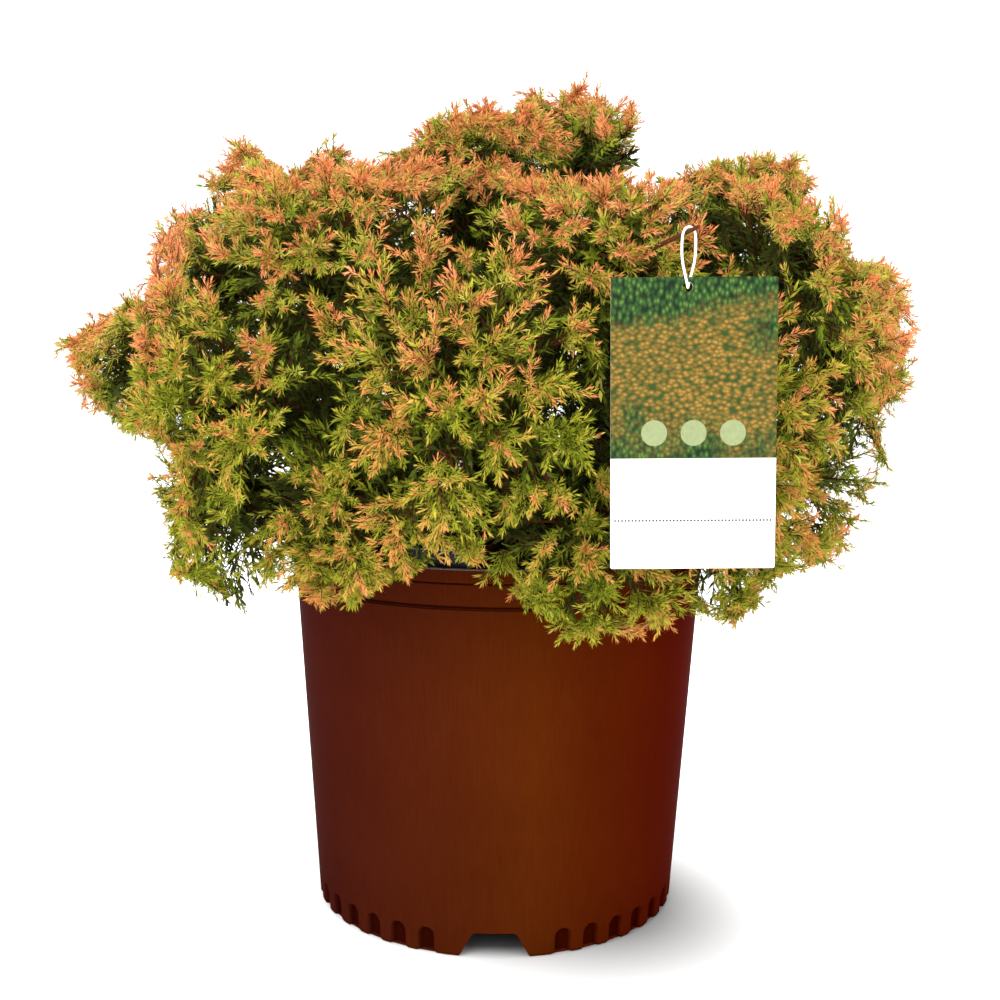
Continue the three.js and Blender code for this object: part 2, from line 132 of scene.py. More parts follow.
class Shader:
    """A node material under construction, with short calls for the nodes that the finishes share."""

    def __init__(self, name: str, roughness: float, specular: float) -> None:
        """Starts a material with one Principled shader.

        Args:
            name: The material's name.
            roughness: The shader's roughness.
            specular: The shader's specular level.
        """
        self.material = bpy.data.materials.new(name)
        self.material.use_nodes = True
        self.tree = self.material.node_tree
        self.surface = self.tree.nodes["Principled BSDF"]
        self.surface.inputs["Roughness"].default_value = roughness
        self.surface.inputs["Specular IOR Level"].default_value = specular

    def plain(self, colour: str) -> "Shader":
        """Sets one base colour and returns the shader."""
        self.surface.inputs["Base Color"].default_value = linear(colour)
        return self

    def link(self, source: Socket, target: Socket) -> None:
        """Joins two sockets."""
        self.tree.links.new(source, target)

    def made(self, kind: str, inputs: dict, **settings: str) -> bpy.types.Node:
        """A new node.

        Args:
            kind: Its kind, as Blender's own name without ShaderNode before it.
            inputs: A value or a socket for each of the inputs that are set or linked.
            settings: The node's own settings.

        Returns:
            The node.
        """
        node = self.tree.nodes.new(f"ShaderNode{kind}")
        for name, value in settings.items():
            setattr(node, name, value)
        for name, value in inputs.items():
            if isinstance(value, Socket):
                self.link(value, node.inputs[name])
            else:
                node.inputs[name].default_value = value
        return node

    def places(self, scale: Triple = (1, 1, 1), offset: Triple = (0, 0, 0)) -> Socket:
        """The surface's own place in the object, stretched by a scale and moved by an offset."""
        place = self.made("TexCoord", {}).outputs["Object"]
        return self.made("Mapping", {"Vector": place, "Scale": scale, "Location": offset}).outputs["Vector"]

    def noise(self, at: Socket, scale: float, detail: float) -> Socket:
        """Fractal noise over a place, from 0 to 1."""
        return self.made("TexNoise", {"Vector": at, "Scale": scale, "Detail": detail}).outputs["Fac"]

    def cells(self, at: Socket, scale: float) -> Socket:
        """Distance to the nearest of many scattered points, which a larger scale brings closer."""
        return self.made("TexVoronoi", {"Vector": at, "Scale": scale}).outputs["Distance"]

    def added(self, first: Socket, second: Socket) -> Socket:
        """The sum of two values."""
        return self.made("Math", {0: first, 1: second}, operation="ADD").outputs["Value"]

    def ramp(self, value: Socket, stops: list[tuple[float, str | float]]) -> Socket:
        """A colour ramp over a value.

        Args:
            value: What drives the ramp.
            stops: Each stop's position, and its colour or its grey from 0 to 1.

        Returns:
            The ramp's colour.
        """
        node = self.made("ValToRGB", {"Fac": value})
        while len(node.color_ramp.elements) < len(stops):
            node.color_ramp.elements.new(0.5)
        for element, (position, colour) in zip(node.color_ramp.elements, stops):
            element.position = position
            element.color = linear(colour) if isinstance(colour, str) else (colour, colour, colour, 1)
        return node.outputs["Color"]

    def span(self, value: Socket, low: float, high: float, to: tuple[float, float] = (0, 1)) -> Socket:
        """A value from low to high mapped to a new range, and held there."""
        ends = {"From Min": low, "From Max": high, "To Min": to[0], "To Max": to[1]}
        return self.made("MapRange", {"Value": value, **ends}).outputs["Result"]

    def mixed(self, share: float | Socket, first: Socket, second: Socket, mode: str = "MIX") -> Socket:
        """Two colours mixed by a share of the second one, which is a number or a socket."""
        sides = {"Factor": share, 6: first, 7: second}
        return self.made("Mix", sides, data_type="RGBA", blend_type=mode).outputs[2]

    def axis(self, at: Socket, name: str) -> Socket:
        """One axis of a place, by its letter."""
        return self.made("SeparateXYZ", {"Vector": at}).outputs[name]

    def distance(self, at: Socket) -> Socket:
        """How far a place is from the origin."""
        return self.made("VectorMath", {0: at}, operation="LENGTH").outputs["Value"]

    def attribute(self, name: str) -> Socket:
        """A number that the mesh holds for each vertex, by its name in the mesh."""
        return self.made("Attribute", {}, attribute_name=name).outputs["Fac"]

    def colour(self, socket: Socket) -> "Shader":
        """Drives the base colour and returns the shader."""
        self.link(socket, self.surface.inputs["Base Color"])
        return self

    def rough(self, value: Socket, low: float, high: float) -> "Shader":
        """Drives the roughness between two values and returns the shader."""
        self.link(self.span(value, 0.3, 0.7, (low, high)), self.surface.inputs["Roughness"])
        return self

    def relief(self, height: Socket, distance: float, strength: float = 1) -> "Shader":
        """Adds a bump of a real height in metres and returns the shader.

        Args:
            height: The bump's height, from 0 to 1.
            distance: The height that 1 stands for.
            strength: How much of it shows.

        Returns:
            The shader.
        """
        bump = self.made("Bump", {"Height": height, "Distance": distance, "Strength": strength})
        self.link(bump.outputs["Normal"], self.surface.inputs["Normal"])
        return self


@dataclass(frozen=True)
class NeedleFinish:
    """One plain colour of needle, waxy and nearly matt."""

    tint: Tint
    roughness: float = 0.6
    specular: float = 0.02

    def material(self) -> Material:
        """The material of this tint."""
        name = f"needle_{self.tint.name.lower()}"
        return Shader(name, self.roughness, self.specular).plain(self.tint.value).material


@dataclass(frozen=True)
class TwigFinish:
    """Thin reddish brown twigs under the needles."""

    colour: str = "502b18"

    def material(self) -> Material:
        """The twigs' material."""
        return Shader("twig_bark", 0.7, 0.06).plain(self.colour).material


@dataclass(frozen=True)
class BarkFinish:
    """Red brown bark that peels in thin upright strips."""

    furrow: str = "1d100a"
    ridge: str = "553121"
    wear_and_highlight: str = "6b4b3a"

    def material(self) -> Material:
        """The bark's material.

        Returns:
            The new material.
        """
        shader = Shader("stem_bark", 0.85, 0.15)
        strips = shader.noise(shader.places((420, 420, 60)), 1.0, 6)
        patches = shader.noise(shader.places(), 90, 3)
        colour = shader.ramp(strips, [(0.36, self.furrow), (0.52, self.ridge), (0.68, self.wear_and_highlight)])
        shade = shader.ramp(patches, [(0.3, "8a8078"), (0.7, "ffffff")])
        shader.colour(shader.mixed(0.6, colour, shade, "MULTIPLY"))
        return shader.relief(strips, 0.5 * MM).rough(patches, 0.75, 0.95).material


@dataclass(frozen=True)
class PotFinish:
    """Rust brown moulded plastic with a fine grain, with painted shade towards both sides and the right side
    redder, painted light on its upper part, painted shade in the lip's crease, the groove and the flutes,
    and a painted highlight along the rim.
    """

    # Painted shade: the left and right colours are darker than the middle one, as light falls off at the
    # pot's sides
    left: str = "3c130e"
    middle: str = "4d1f05"
    right: str = "460700"
    half_width: float = 0.12
    rim: float = 210 * MM
    # Heights of the painted shade lines in the crease under the lip and in the groove
    crease_shade_heights: tuple[float, float] = (202.4 * MM, 190 * MM)

    def material(self) -> Material:
        """The pot's material.

        Returns:
            The new material.
        """
        shader = Shader("pot_plastic", 0.5, 0.001)
        place = shader.places()
        # Painted shade across X: darker and redder towards both sides, lightest a little right of the middle
        across = shader.span(shader.axis(place, "X"), -self.half_width, self.half_width)
        base = shader.ramp(across, [(0.05, self.left), (0.58, self.middle), (0.95, self.right)])
        cloud = shader.ramp(shader.noise(place, 14, 3), [(0.25, "dccfca"), (0.75, "ffffff")])
        drawn = shader.noise(shader.places((900, 900, 45)), 1.0, 3)
        grain = shader.noise(place, 1500, 2)
        streaks = shader.ramp(drawn, [(0.3, "d8d0cc"), (0.7, "ffffff")])
        height = shader.axis(place, "Z")
        # Painted light: the upper part of the pot is painted lighter than its lower part, against the
        # crown's shade on it
        low = shader.ramp(shader.span(height, 0.08, 0.18), [(0.0, "f2f0f0"), (1.0, "ffffff")])
        base = shader.mixed(1.0, base, low, "MULTIPLY")
        # Painted shade: a dark line in the crease under the lip and along the groove
        for crease_height in self.crease_shade_heights:
            upper = shader.span(height, crease_height - 0.9 * MM, crease_height + 0.9 * MM)
            stops = [(0.0, "ffffff"), (0.35, "8c7c7c"), (0.65, "8c7c7c"), (1.0, "ffffff")]
            line = shader.ramp(upper, stops)
            base = shader.mixed(1.0, base, line, "MULTIPLY")
        # Painted highlight: a pale band along the rim's top edge
        wear_and_highlight = shader.span(height, self.rim - 0.5 * MM, self.rim - 0.25 * MM)
        base = shader.mixed(wear_and_highlight, base, shader.ramp(wear_and_highlight, [(0.0, "a48c88"), (1.0, "b09a96")]))
        colour = shader.mixed(0.7, base, cloud, "MULTIPLY")
        colour = shader.mixed(0.5, colour, streaks, "MULTIPLY")
        # Painted shade: the flutes are painted darker the deeper they are sunk
        painted_flute_shade = shader.ramp(shader.attribute(FLUTE_SHADE_DEPTH), [(0.15, "ffffff"), (0.9, "b08484")])
        shader.colour(shader.mixed(1.0, colour, painted_flute_shade, "MULTIPLY"))
        return shader.relief(grain, 0.05 * MM, 0.5).rough(drawn, 0.46, 0.6).material


@dataclass(frozen=True)
class SoilFinish:
    """Dark potting mix with paler fibres."""

    def material(self) -> Material:
        """The soil's material.

        Returns:
            The new material.
        """
        shader = Shader("potting_mix", 0.95, 0.1)
        place = shader.places()
        crumbs = shader.noise(place, 260, 8)
        shader.colour(shader.ramp(crumbs, [(0.35, "120c08"), (0.55, "2e2016"), (0.75, "5a4531")]))
        return shader.relief(crumbs, 2.5 * MM).material


@dataclass(frozen=True)
class ChipFinish:
    """Shredded bark in the potting mix."""

    def material(self) -> Material:
        """The bark chips' material.

        Returns:
            The new material.
        """
        shader = Shader("bark_chip", 0.9, 0.1)
        grain = shader.noise(shader.places((300, 300, 120)), 1.0, 5)
        shader.colour(shader.ramp(grain, [(0.35, "2a180e"), (0.6, "5b3a25"), (0.8, "80593c")]))
        return shader.relief(grain, 0.4 * MM).material


@dataclass(frozen=True)
class PlainPlastic:
    """A smooth small plastic thing, with a faint grain so that it doesn't look like paint."""

    name: str
    dark: str
    light: str
    roughness: float = 0.4

    def material(self) -> Material:
        """The plastic's material.

        Returns:
            The new material.
        """
        shader = Shader(self.name, self.roughness, 0.25)
        grain = shader.noise(shader.places(), 500, 3)
        shader.colour(shader.ramp(grain, [(0.3, self.dark), (0.7, self.light)]))
        return shader.relief(grain, 0.03 * MM, 0.4).material


@dataclass(frozen=True)
class PictureFinish:
    """The printed panel of the tag: loose leaf-like flecks of green and gold over dark green."""

    low: float
    high: float

    def material(self) -> Material:
        """The printed panel's material.

        Returns:
            The new material.
        """
        shader = Shader("tag_picture", 0.4, 0.1)
        place = shader.places()
        flecks = shader.cells(shader.places((1, 1, 0.6)), 560)
        sprigs = shader.cells(shader.places((1, 1, 1.4)), 420)
        greens = shader.ramp(flecks, [(0.0, "5c7430"), (0.35, "2c4a1e"), (0.75, "0e200e")])
        golds = shader.ramp(sprigs, [(0.0, "a67c3a"), (0.35, "745822"), (0.8, "2c3c14")])
        height = shader.span(shader.axis(place, "Z"), self.low, self.high)
        waves = shader.noise(place, 45, 2)
        band = shader.span(shader.added(height, waves), 0, 2)
        share = shader.ramp(band, [(0.225, 0.0), (0.375, 0.85), (0.575, 0.9), (0.7, 0.0)])
        return shader.colour(shader.mixed(share, greens, golds)).material


# Pieces


def placed(name: str, data: bpy.types.ID) -> Piece:
    """A new object in the scene with this mesh, curve, lamp or camera.

    Args:
        name: Its name.
        data: What it holds.

    Returns:
        The object.
    """
    item = bpy.data.objects.new(name, data)
    bpy.context.scene.collection.objects.link(item)
    return item


def add_piece(name: str, mesh: Mesh, materials: list[Material], slot: str, nodes: list[str]) -> Piece:
    """Links a mesh as a piece of the object that rides on the body and stands for CAD nodes.

    Args:
        name: The piece's name.
        mesh: Its mesh, in place in the frame.
        materials: Its materials, in the order of the mesh's material indices.
        slot: Not used.
        nodes: The CAD nodes that it stands for.

    Returns:
        The new object.
    """
    for material in materials:
        mesh.materials.append(material)
    piece = placed(name, mesh)
    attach(piece, "root")
    if nodes:
        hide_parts(*nodes)
    LOG.info("%s: %d faces", name, len(mesh.polygons))
    return piece


def mesh_from_bmesh(name: str, shape: Shape, crease: float | None = 40) -> Mesh:
    """Turns a bmesh into a smooth-shaded mesh with sharp edges past an angle.

    Args:
        name: The mesh's name.
        shape: The bmesh, which is freed.
        crease: The angle in degrees from which an edge is sharp, or None for none.

    Returns:
        The mesh.
    """
    for face in shape.faces:
        face.smooth = True
    mesh = bpy.data.meshes.new(name)
    shape.to_mesh(mesh)
    shape.free()
    if crease is not None:
        mesh.set_sharp_from_angle(angle=math.radians(crease))
    return mesh


def cut_away(mesh: Mesh, cutter_mesh: Mesh) -> Mesh:
    """A mesh with another one cut out of it.

    Args:
        mesh: The mesh that is cut.
        cutter_mesh: What is taken away.

    Returns:
        A new mesh.
    """
    cutter = placed("cutter", cutter_mesh)
    whole = placed("uncut", mesh)
    modifier = whole.modifiers.new("cut", "BOOLEAN")
    modifier.operation = "DIFFERENCE"
    modifier.object = cutter
    modifier.solver = "EXACT"
    graph = bpy.context.evaluated_depsgraph_get()
    cut = bpy.data.meshes.new_from_object(whole.evaluated_get(graph))
    for spare in (cutter, whole):
        bpy.data.objects.remove(spare)
    return cut


def mesh_from_arrays(name: str, points: Array, corners: Array, finishes: Array | None = None) -> Mesh:
    """Makes a mesh of flat-shaded triangles from arrays.

    Args:
        name: The mesh's name.
        points: The vertices, one row each.
        corners: The triangles' vertex numbers, one row each.
        finishes: Each triangle's material index, or None where there is one material.

    Returns:
        The mesh.
    """
    mesh = bpy.data.meshes.new(name)
    count = len(corners)
    mesh.vertices.add(len(points))
    mesh.vertices.foreach_set("co", points.astype(np.float32).ravel())
    mesh.loops.add(count * 3)
    mesh.loops.foreach_set("vertex_index", corners.astype(np.int32).ravel())
    mesh.polygons.add(count)
    mesh.polygons.foreach_set("loop_start", np.arange(0, count * 3, 3, dtype=np.int32))
    if finishes is not None:
        mesh.polygons.foreach_set("material_index", finishes.astype(np.int32))
    mesh.update(calc_edges=True)
    mesh.shade_flat()
    return mesh


# Array geometry


def unit(rows: Array) -> Array:
    """Vectors along the last axis, each made one long."""
    return rows / np.maximum(np.linalg.norm(rows, axis=-1, keepdims=True), 1e-12)


def polar(azimuth: float, radius: float, height: float) -> Array:
    """A point from its azimuth in degrees, its distance from the axis and its height."""
    turn = math.radians(azimuth)
    return np.array([radius * math.cos(turn), radius * math.sin(turn), height])


def fanned(along: Array, pole: Array, roll: Array) -> Array:
    """Directions square to stems, turned round them from a common start.

    Args:
        along: The stems' directions.
        pole: A direction that gives the start.
        roll: How far each one is turned.

    Returns:
        A unit vector for each turn.
    """
    across = unit(np.cross(along, unit(pole)))
    other = np.cross(along, across)
    return across * np.cos(roll)[..., None] + other * np.sin(roll)[..., None]


@dataclass
class Curves:
    """Many quadratic curves at once, each from a start past a bend to an end."""

    start: Array
    bend: Array
    end: Array

    def at(self, share: Array) -> Array:
        """Points on the curves.

        Args:
            share: For each curve, one or more places from 0 to 1.

        Returns:
            A point for each place.
        """
        t = share[..., None]
        start, bend, end = (self.spread(rows, share) for rows in (self.start, self.bend, self.end))
        return (1 - t) ** 2 * start + 2 * t * (1 - t) * bend + t * t * end

    def along(self, share: Array) -> Array:
        """The curves' directions at the places that share gives.

        Args:
            share: For each curve, one or more places from 0 to 1.

        Returns:
            A unit vector for each.
        """
        t = share[..., None]
        start, bend, end = (self.spread(rows, share) for rows in (self.start, self.bend, self.end))
        return unit((1 - t) * (bend - start) + t * (end - bend))

    @staticmethod
    def spread(rows: Array, share: Array) -> Array:
        """Rows lined up with the places of share."""
        return rows[:, None, :] if share.ndim == 2 else rows

    def chosen(self, keep: Array) -> "Curves":
        """The curves that keep marks."""
        return Curves(self.start[keep], self.bend[keep], self.end[keep])

    def lengths(self) -> Array:
        """About how long each curve is.

        Returns:
            A length for each curve.
        """
        first = np.linalg.norm(self.bend - self.start, axis=1)
        second = np.linalg.norm(self.end - self.bend, axis=1)
        return 0.5 * (first + second + np.linalg.norm(self.end - self.start, axis=1))


@dataclass(frozen=True)
class Twig:
    """How thick a kind of twig is at its foot and its tip, and how many sides and lengths it gets."""

    foot: float
    tip: float
    sides: int
    steps: int


def tube_rings(curves: Curves, radii: tuple[float, float], sides: int, steps: int) -> Array:
    """The rings of vertices of tapered tubes along curves.

    Args:
        curves: The tubes' middles.
        radii: The tubes' radius at the start and at the end.
        sides: How many sides a tube has.
        steps: How many lengths a tube has.

    Returns:
        Vertices by tube, ring and side.
    """
    count = len(curves.start)
    share = np.tile(np.linspace(0, 1, steps + 1), (count, 1))
    middle = curves.at(share)
    along = curves.along(share)
    across = unit(np.cross(along, np.where(np.abs(along[..., 2:]) < 0.9, UP, [1.0, 0.0, 0.0])))
    other = np.cross(along, across)
    turn = np.arange(sides) * 2 * math.pi / sides
    radius = radii[0] * (1 - share) + radii[1] * share
    ring = across[:, :, None, :] * np.cos(turn)[:, None] + other[:, :, None, :] * np.sin(turn)[:, None]
    return middle[:, :, None, :] + ring * radius[:, :, None, None]


def tube_corners(count: int, sides: int, steps: int) -> Array:
    """The triangles of that many closed tubes, whose vertices lie by tube, ring and side.

    Args:
        count: How many tubes there are.
        sides: How many sides each has.
        steps: How many lengths each has.

    Returns:
        The triangles' vertex numbers, one row each.
    """
    ring, side = np.meshgrid(np.arange(steps), np.arange(sides), indexing="ij")
    low = ring * sides + side
    low_next = ring * sides + (side + 1) % sides
    walls = [
        np.stack([low, low_next, low + sides], -1),
        np.stack([low_next, low_next + sides, low + sides], -1),
    ]
    fan = np.arange(1, sides - 1)
    top = steps * sides
    caps = [
        np.stack([np.zeros_like(fan), fan + 1, fan], -1),
        np.stack([np.full_like(fan, top), top + fan, top + fan + 1], -1),
    ]
    one = np.concatenate([part.reshape(-1, 3) for part in walls + caps])
    size = (steps + 1) * sides
    return (one[None] + (np.arange(count) * size)[:, None, None]).reshape(-1, 3)


class Bundle:
    """Points and triangles gathered from many small shapes."""

    def __init__(self) -> None:
        """Starts with nothing in it."""
        self.points: list[Array] = []
        self.corners: list[Array] = []
        self.finishes: list[Array] = []
        self.count = 0

    def add(self, points: Array, corners: Array, finishes: Array | None = None) -> None:
        """Adds shapes whose corners count from their own first point.

        Args:
            points: Their points.
            corners: Their triangles' corners.
            finishes: Each triangle's material index.
        """
        flat = points.reshape(-1, 3)
        self.points.append(flat)
        self.corners.append(corners + self.count)
        self.finishes.append(np.zeros(len(corners), int) if finishes is None else finishes)
        self.count += len(flat)

    def tubes(self, curves: Curves, twig: Twig) -> None:
        """Adds a closed tapered tube along each curve, as thick and as fine as a twig of its kind.

        Args:
            curves: The tubes' middles.
            twig: The kind of twig.
        """
        if len(curves.start):
            rings = tube_rings(curves, (twig.foot, twig.tip), twig.sides, twig.steps)
            self.add(rings, tube_corners(len(curves.start), twig.sides, twig.steps))

    def spikes(self, foot: Array, tip: Array, radius: float) -> None:
        """Adds a closed three-sided spike from each foot to its tip.

        Args:
            foot: Where each spike starts.
            tip: Where it ends.
            radius: Its radius at the foot.
        """
        along = unit(tip - foot)
        across = unit(np.cross(along, np.where(np.abs(along[:, 2:]) < 0.9, UP, [1.0, 0.0, 0.0])))
        other = np.cross(along, across)
        base = [
            foot + (across * math.cos(turn) + other * math.sin(turn)) * radius
            for turn in (0.0, 2 * math.pi / 3, 4 * math.pi / 3)
        ]
        points = np.stack([*base, tip], 1)
        one = np.array([[0, 1, 3], [1, 2, 3], [2, 0, 3], [0, 2, 1]])
        corners = (one[None] + (np.arange(len(foot)) * 4)[:, None, None]).reshape(-1, 3)
        self.add(points, corners)

    def mesh(self, name: str) -> Mesh:
        """Everything gathered, as one mesh."""
        parts = (np.concatenate(rows) for rows in (self.points, self.corners, self.finishes))
        return mesh_from_arrays(name, *parts)


# Pot


def spun(profile: list[tuple[float, float]], columns: int) -> Shape:
    """A profile spun round the axis into a closed form.

    Args:
        profile: The radius and height of each point, from the axis below to the axis above.
        columns: How many columns of faces the form has.

    Returns:
        The form.
    """
    shape = bmesh.new()
    points = [shape.verts.new((r, 0.0, z)) for r, z in profile]
    edges = [shape.edges.new(pair) for pair in zip(points, points[1:])]
    bmesh.ops.spin(
        shape,
        geom=points + edges,
        cent=(0, 0, 0),
        axis=(0, 0, 1),
        dvec=(0, 0, 0),
        angle=2 * math.pi,
        steps=columns,
        use_merge=True,
        use_duplicate=False,
    )
    bmesh.ops.remove_doubles(shape, verts=shape.verts, dist=0.02 * MM)
    return shape


@dataclass
class Pot:
    """The moulded pot: a tapered wall with a lip and a groove, flutes round its foot and drain notches."""

    height: float = 210 * MM
    base_radius: float = 105 * MM
    rim_radius: float = 119.5 * MM
    wall: float = 3 * MM
    foot_radius: float = 76 * MM
    channel_width: float = 7 * MM
    channel_height: float = 14.5 * MM
    groove_height: float = 190 * MM
    groove_depth: float = 1.4 * MM
    lip_height: float = 7 * MM
    lip_proud: float = 1 * MM
    flute_first: float = math.radians(20.3)
    flute_pitch: float = math.radians(9.29)
    flute_row: int = 16
    flute_width: float = 8.8 * MM
    flute_height: float = 14.2 * MM
    flute_depth: float = 2.9 * MM
    flute_edge: float = 1.3 * MM
    drain_top: float = 23 * MM
    drain_bottom: float = 38 * MM
    drain_height: float = 14 * MM
    columns: int = 768
    crease: float = 38.0
    finish: PotFinish = field(default_factory=PotFinish)

    def wall_radius(self, z: float) -> float:
        """The wall's outer radius at a height."""
        return self.base_radius + (self.rim_radius - self.base_radius) * z / self.height

    def outer_profile(self) -> list[tuple[float, float]]:
        """The outside from the skirt's foot up to the rim, with its groove and its lip.

        Returns:
            The radius and height of each point.
        """
        toe = 1.8 * MM
        points = [
            (self.base_radius - toe * (1 - math.sin(turn)), toe * (1 - math.cos(turn)))
            for turn in np.linspace(0, 1.3, 5)
        ]
        rows = 18
        points += [
            (self.wall_radius(z), z)
            for z in np.linspace(1.6 * MM, self.flute_height + 2.2 * MM, rows)
        ]
        points += [(self.wall_radius(z), z) for z in np.linspace(30 * MM, 180 * MM, 7)]
        half = self.groove_depth
        for k in range(9):
            turn = math.pi * k / 8
            z = self.groove_height - half * math.cos(turn)
            proud = 0.35 * MM * k / 8
            points.append((self.wall_radius(z) + proud - self.groove_depth * math.sin(turn), z))
        lip_foot = self.height - self.lip_height
        lip = self.wall_radius(self.height) + self.lip_proud
        points.append((self.wall_radius(lip_foot) + 0.3 * MM, lip_foot - 0.6 * MM))
        points.append((self.wall_radius(lip_foot) + 0.35 * MM, lip_foot))
        bead = 0.9 * MM
        for k in range(5):
            turn = math.pi / 2 * k / 4
            points.append((lip - bead + bead * math.sin(turn), lip_foot + bead * (1 - math.cos(turn))))
        for k in range(7):
            turn = math.pi / 2 * k / 6
            points.append((lip - bead + bead * math.cos(turn), self.height - bead + bead * math.sin(turn)))
        return points

    def profile(self) -> list[tuple[float, float]]:
        """The whole closed outline from the axis under the floor round to the axis over it.

        Returns:
            The radius and height of each point.
        """
        inner = self.wall_radius(self.height) - self.wall
        low = self.channel_height + self.wall
        foot = self.foot_radius
        under = [
            (0.0, 0.0),
            (foot * 0.5, 0.0),
            (foot - 0.8 * MM, 0.0),
            (foot, 0.4 * MM),
            (foot + self.channel_width, self.channel_height - 0.5 * MM),
            (foot + self.channel_width + 0.8 * MM, self.channel_height),
            (self.base_radius - self.wall - 1.2 * MM, self.channel_height),
            (self.base_radius - self.wall, self.channel_height - 1.2 * MM),
            (self.base_radius - self.wall, 0.6 * MM),
            (self.base_radius - self.wall + 0.5 * MM, 0.0),
        ]
        inside = [
            (inner + 0.6 * MM, self.height),
            (inner, self.height - 0.6 * MM),
            (self.wall_radius(140 * MM) - self.wall, 140 * MM),
            (self.wall_radius(low) - self.wall, low + 1 * MM),
            (self.wall_radius(low) - self.wall - 1 * MM, low),
            (foot - self.wall / 2 + self.channel_width, low),
            (foot - self.wall / 2, self.wall),
            (0.0, self.wall),
        ]
        return under + self.outer_profile() + inside

    def flute_share(self, around: float, z: float) -> float:
        """How deep the flutes are at a place on the skirt, from 0 to 1.

        Args:
            around: The azimuth from the front, in radians.
            z: The height.

        Returns:
            The share of the flutes' full depth.
        """
        from_first = abs(around) - self.flute_first
        place = round(from_first / self.flute_pitch)
        if not 0 <= place < self.flute_row:
            return 0.0
        across = (from_first - place * self.flute_pitch) * self.base_radius
        half = self.flute_width / 2 + 1.2 * MM * max(0.0, 1 - z / (2.5 * MM)) ** 2
        over = max(0.0, z - (self.flute_height - half))
        inside = half - math.hypot(across, over)
        share = min(1.0, max(0.0, inside / self.flute_edge + 0.35))
        return share * share * (3 - 2 * share)

    def press_flutes(self, shape: Shape) -> None:
        """Pushes the skirt's outer skin in where a flute is.

        Args:
            shape: The pot, whole.
        """
        limit = self.base_radius - self.wall + 0.6 * MM
        for vertex in shape.verts:
            radius = math.hypot(vertex.co.x, vertex.co.y)
            if vertex.co.z > self.flute_height + 2 * MM or radius < limit:
                continue
            around = math.atan2(vertex.co.x, -vertex.co.y)
            depth = self.flute_depth * self.flute_share(around, vertex.co.z)
            vertex.co.x *= 1 - depth / radius
            vertex.co.y *= 1 - depth / radius

    def mark_flute_shade_depth(self, mesh: Mesh) -> None:
        """Gives each vertex how far it's sunk in a flute, for the finish to paint shade into the flutes.

        Args:
            mesh: The pot's mesh.
        """
        sunk = mesh.attributes.new(FLUTE_SHADE_DEPTH, "FLOAT", "POINT")
        inner = self.wall - 0.05 * MM
        for vertex, entry in zip(mesh.vertices, sunk.data):
            depth = self.wall_radius(vertex.co.z) - math.hypot(vertex.co.x, vertex.co.y)
            low = 1.2 * MM < vertex.co.z < self.flute_height + 2 * MM
            entry.value = depth / self.flute_depth if low and depth < inner else 0.0

    def notch_cutter(self) -> Mesh:
        """Two tapered blocks, front and back, with rounded upper corners.

        Returns:
            The blocks' mesh.
        """
        shape = bmesh.new()
        for side in (-1, 1):
            block = bmesh.ops.create_cube(shape, size=1.0)["verts"]
            middle = self.base_radius * side
            depth = 18 * MM
            grow = (self.drain_bottom - self.drain_top) / self.drain_height
            for vertex in block:
                upper = vertex.co.z > 0
                z = self.drain_height if upper else -2 * MM
                width = self.drain_top + grow * (self.drain_height - z)
                vertex.co = Vector((vertex.co.x * width, middle + vertex.co.y * depth, z))
        edges = [
            edge
            for edge in shape.edges
            if all(v.co.z > 0 for v in edge.verts) and abs(edge.verts[0].co.x - edge.verts[1].co.x) < MM
        ]
        bmesh.ops.bevel(
            shape,
            geom=edges,
            offset=1.8 * MM,
            segments=5,
            profile=0.5,
            affect="EDGES",
            material=-1,
        )
        bmesh.ops.recalc_face_normals(shape, faces=shape.faces)
        return mesh_from_bmesh("notch_cutter", shape)

    def build(self) -> Piece:
        """Makes the pot's piece.

        Returns:
            The pot, which stands for the CAD pot.
        """
        shape = spun(self.profile(), self.columns)
        self.press_flutes(shape)
        bmesh.ops.recalc_face_normals(shape, faces=shape.faces)
        mesh = cut_away(mesh_from_bmesh("pot_uncut", shape, None), self.notch_cutter())
        self.mark_flute_shade_depth(mesh)
        mesh.name = "pot_shell"
        mesh.set_sharp_from_angle(angle=math.radians(self.crease))
        return add_piece("pot_shell", mesh, [self.finish.material()], "pot_plastic", ["pot"])


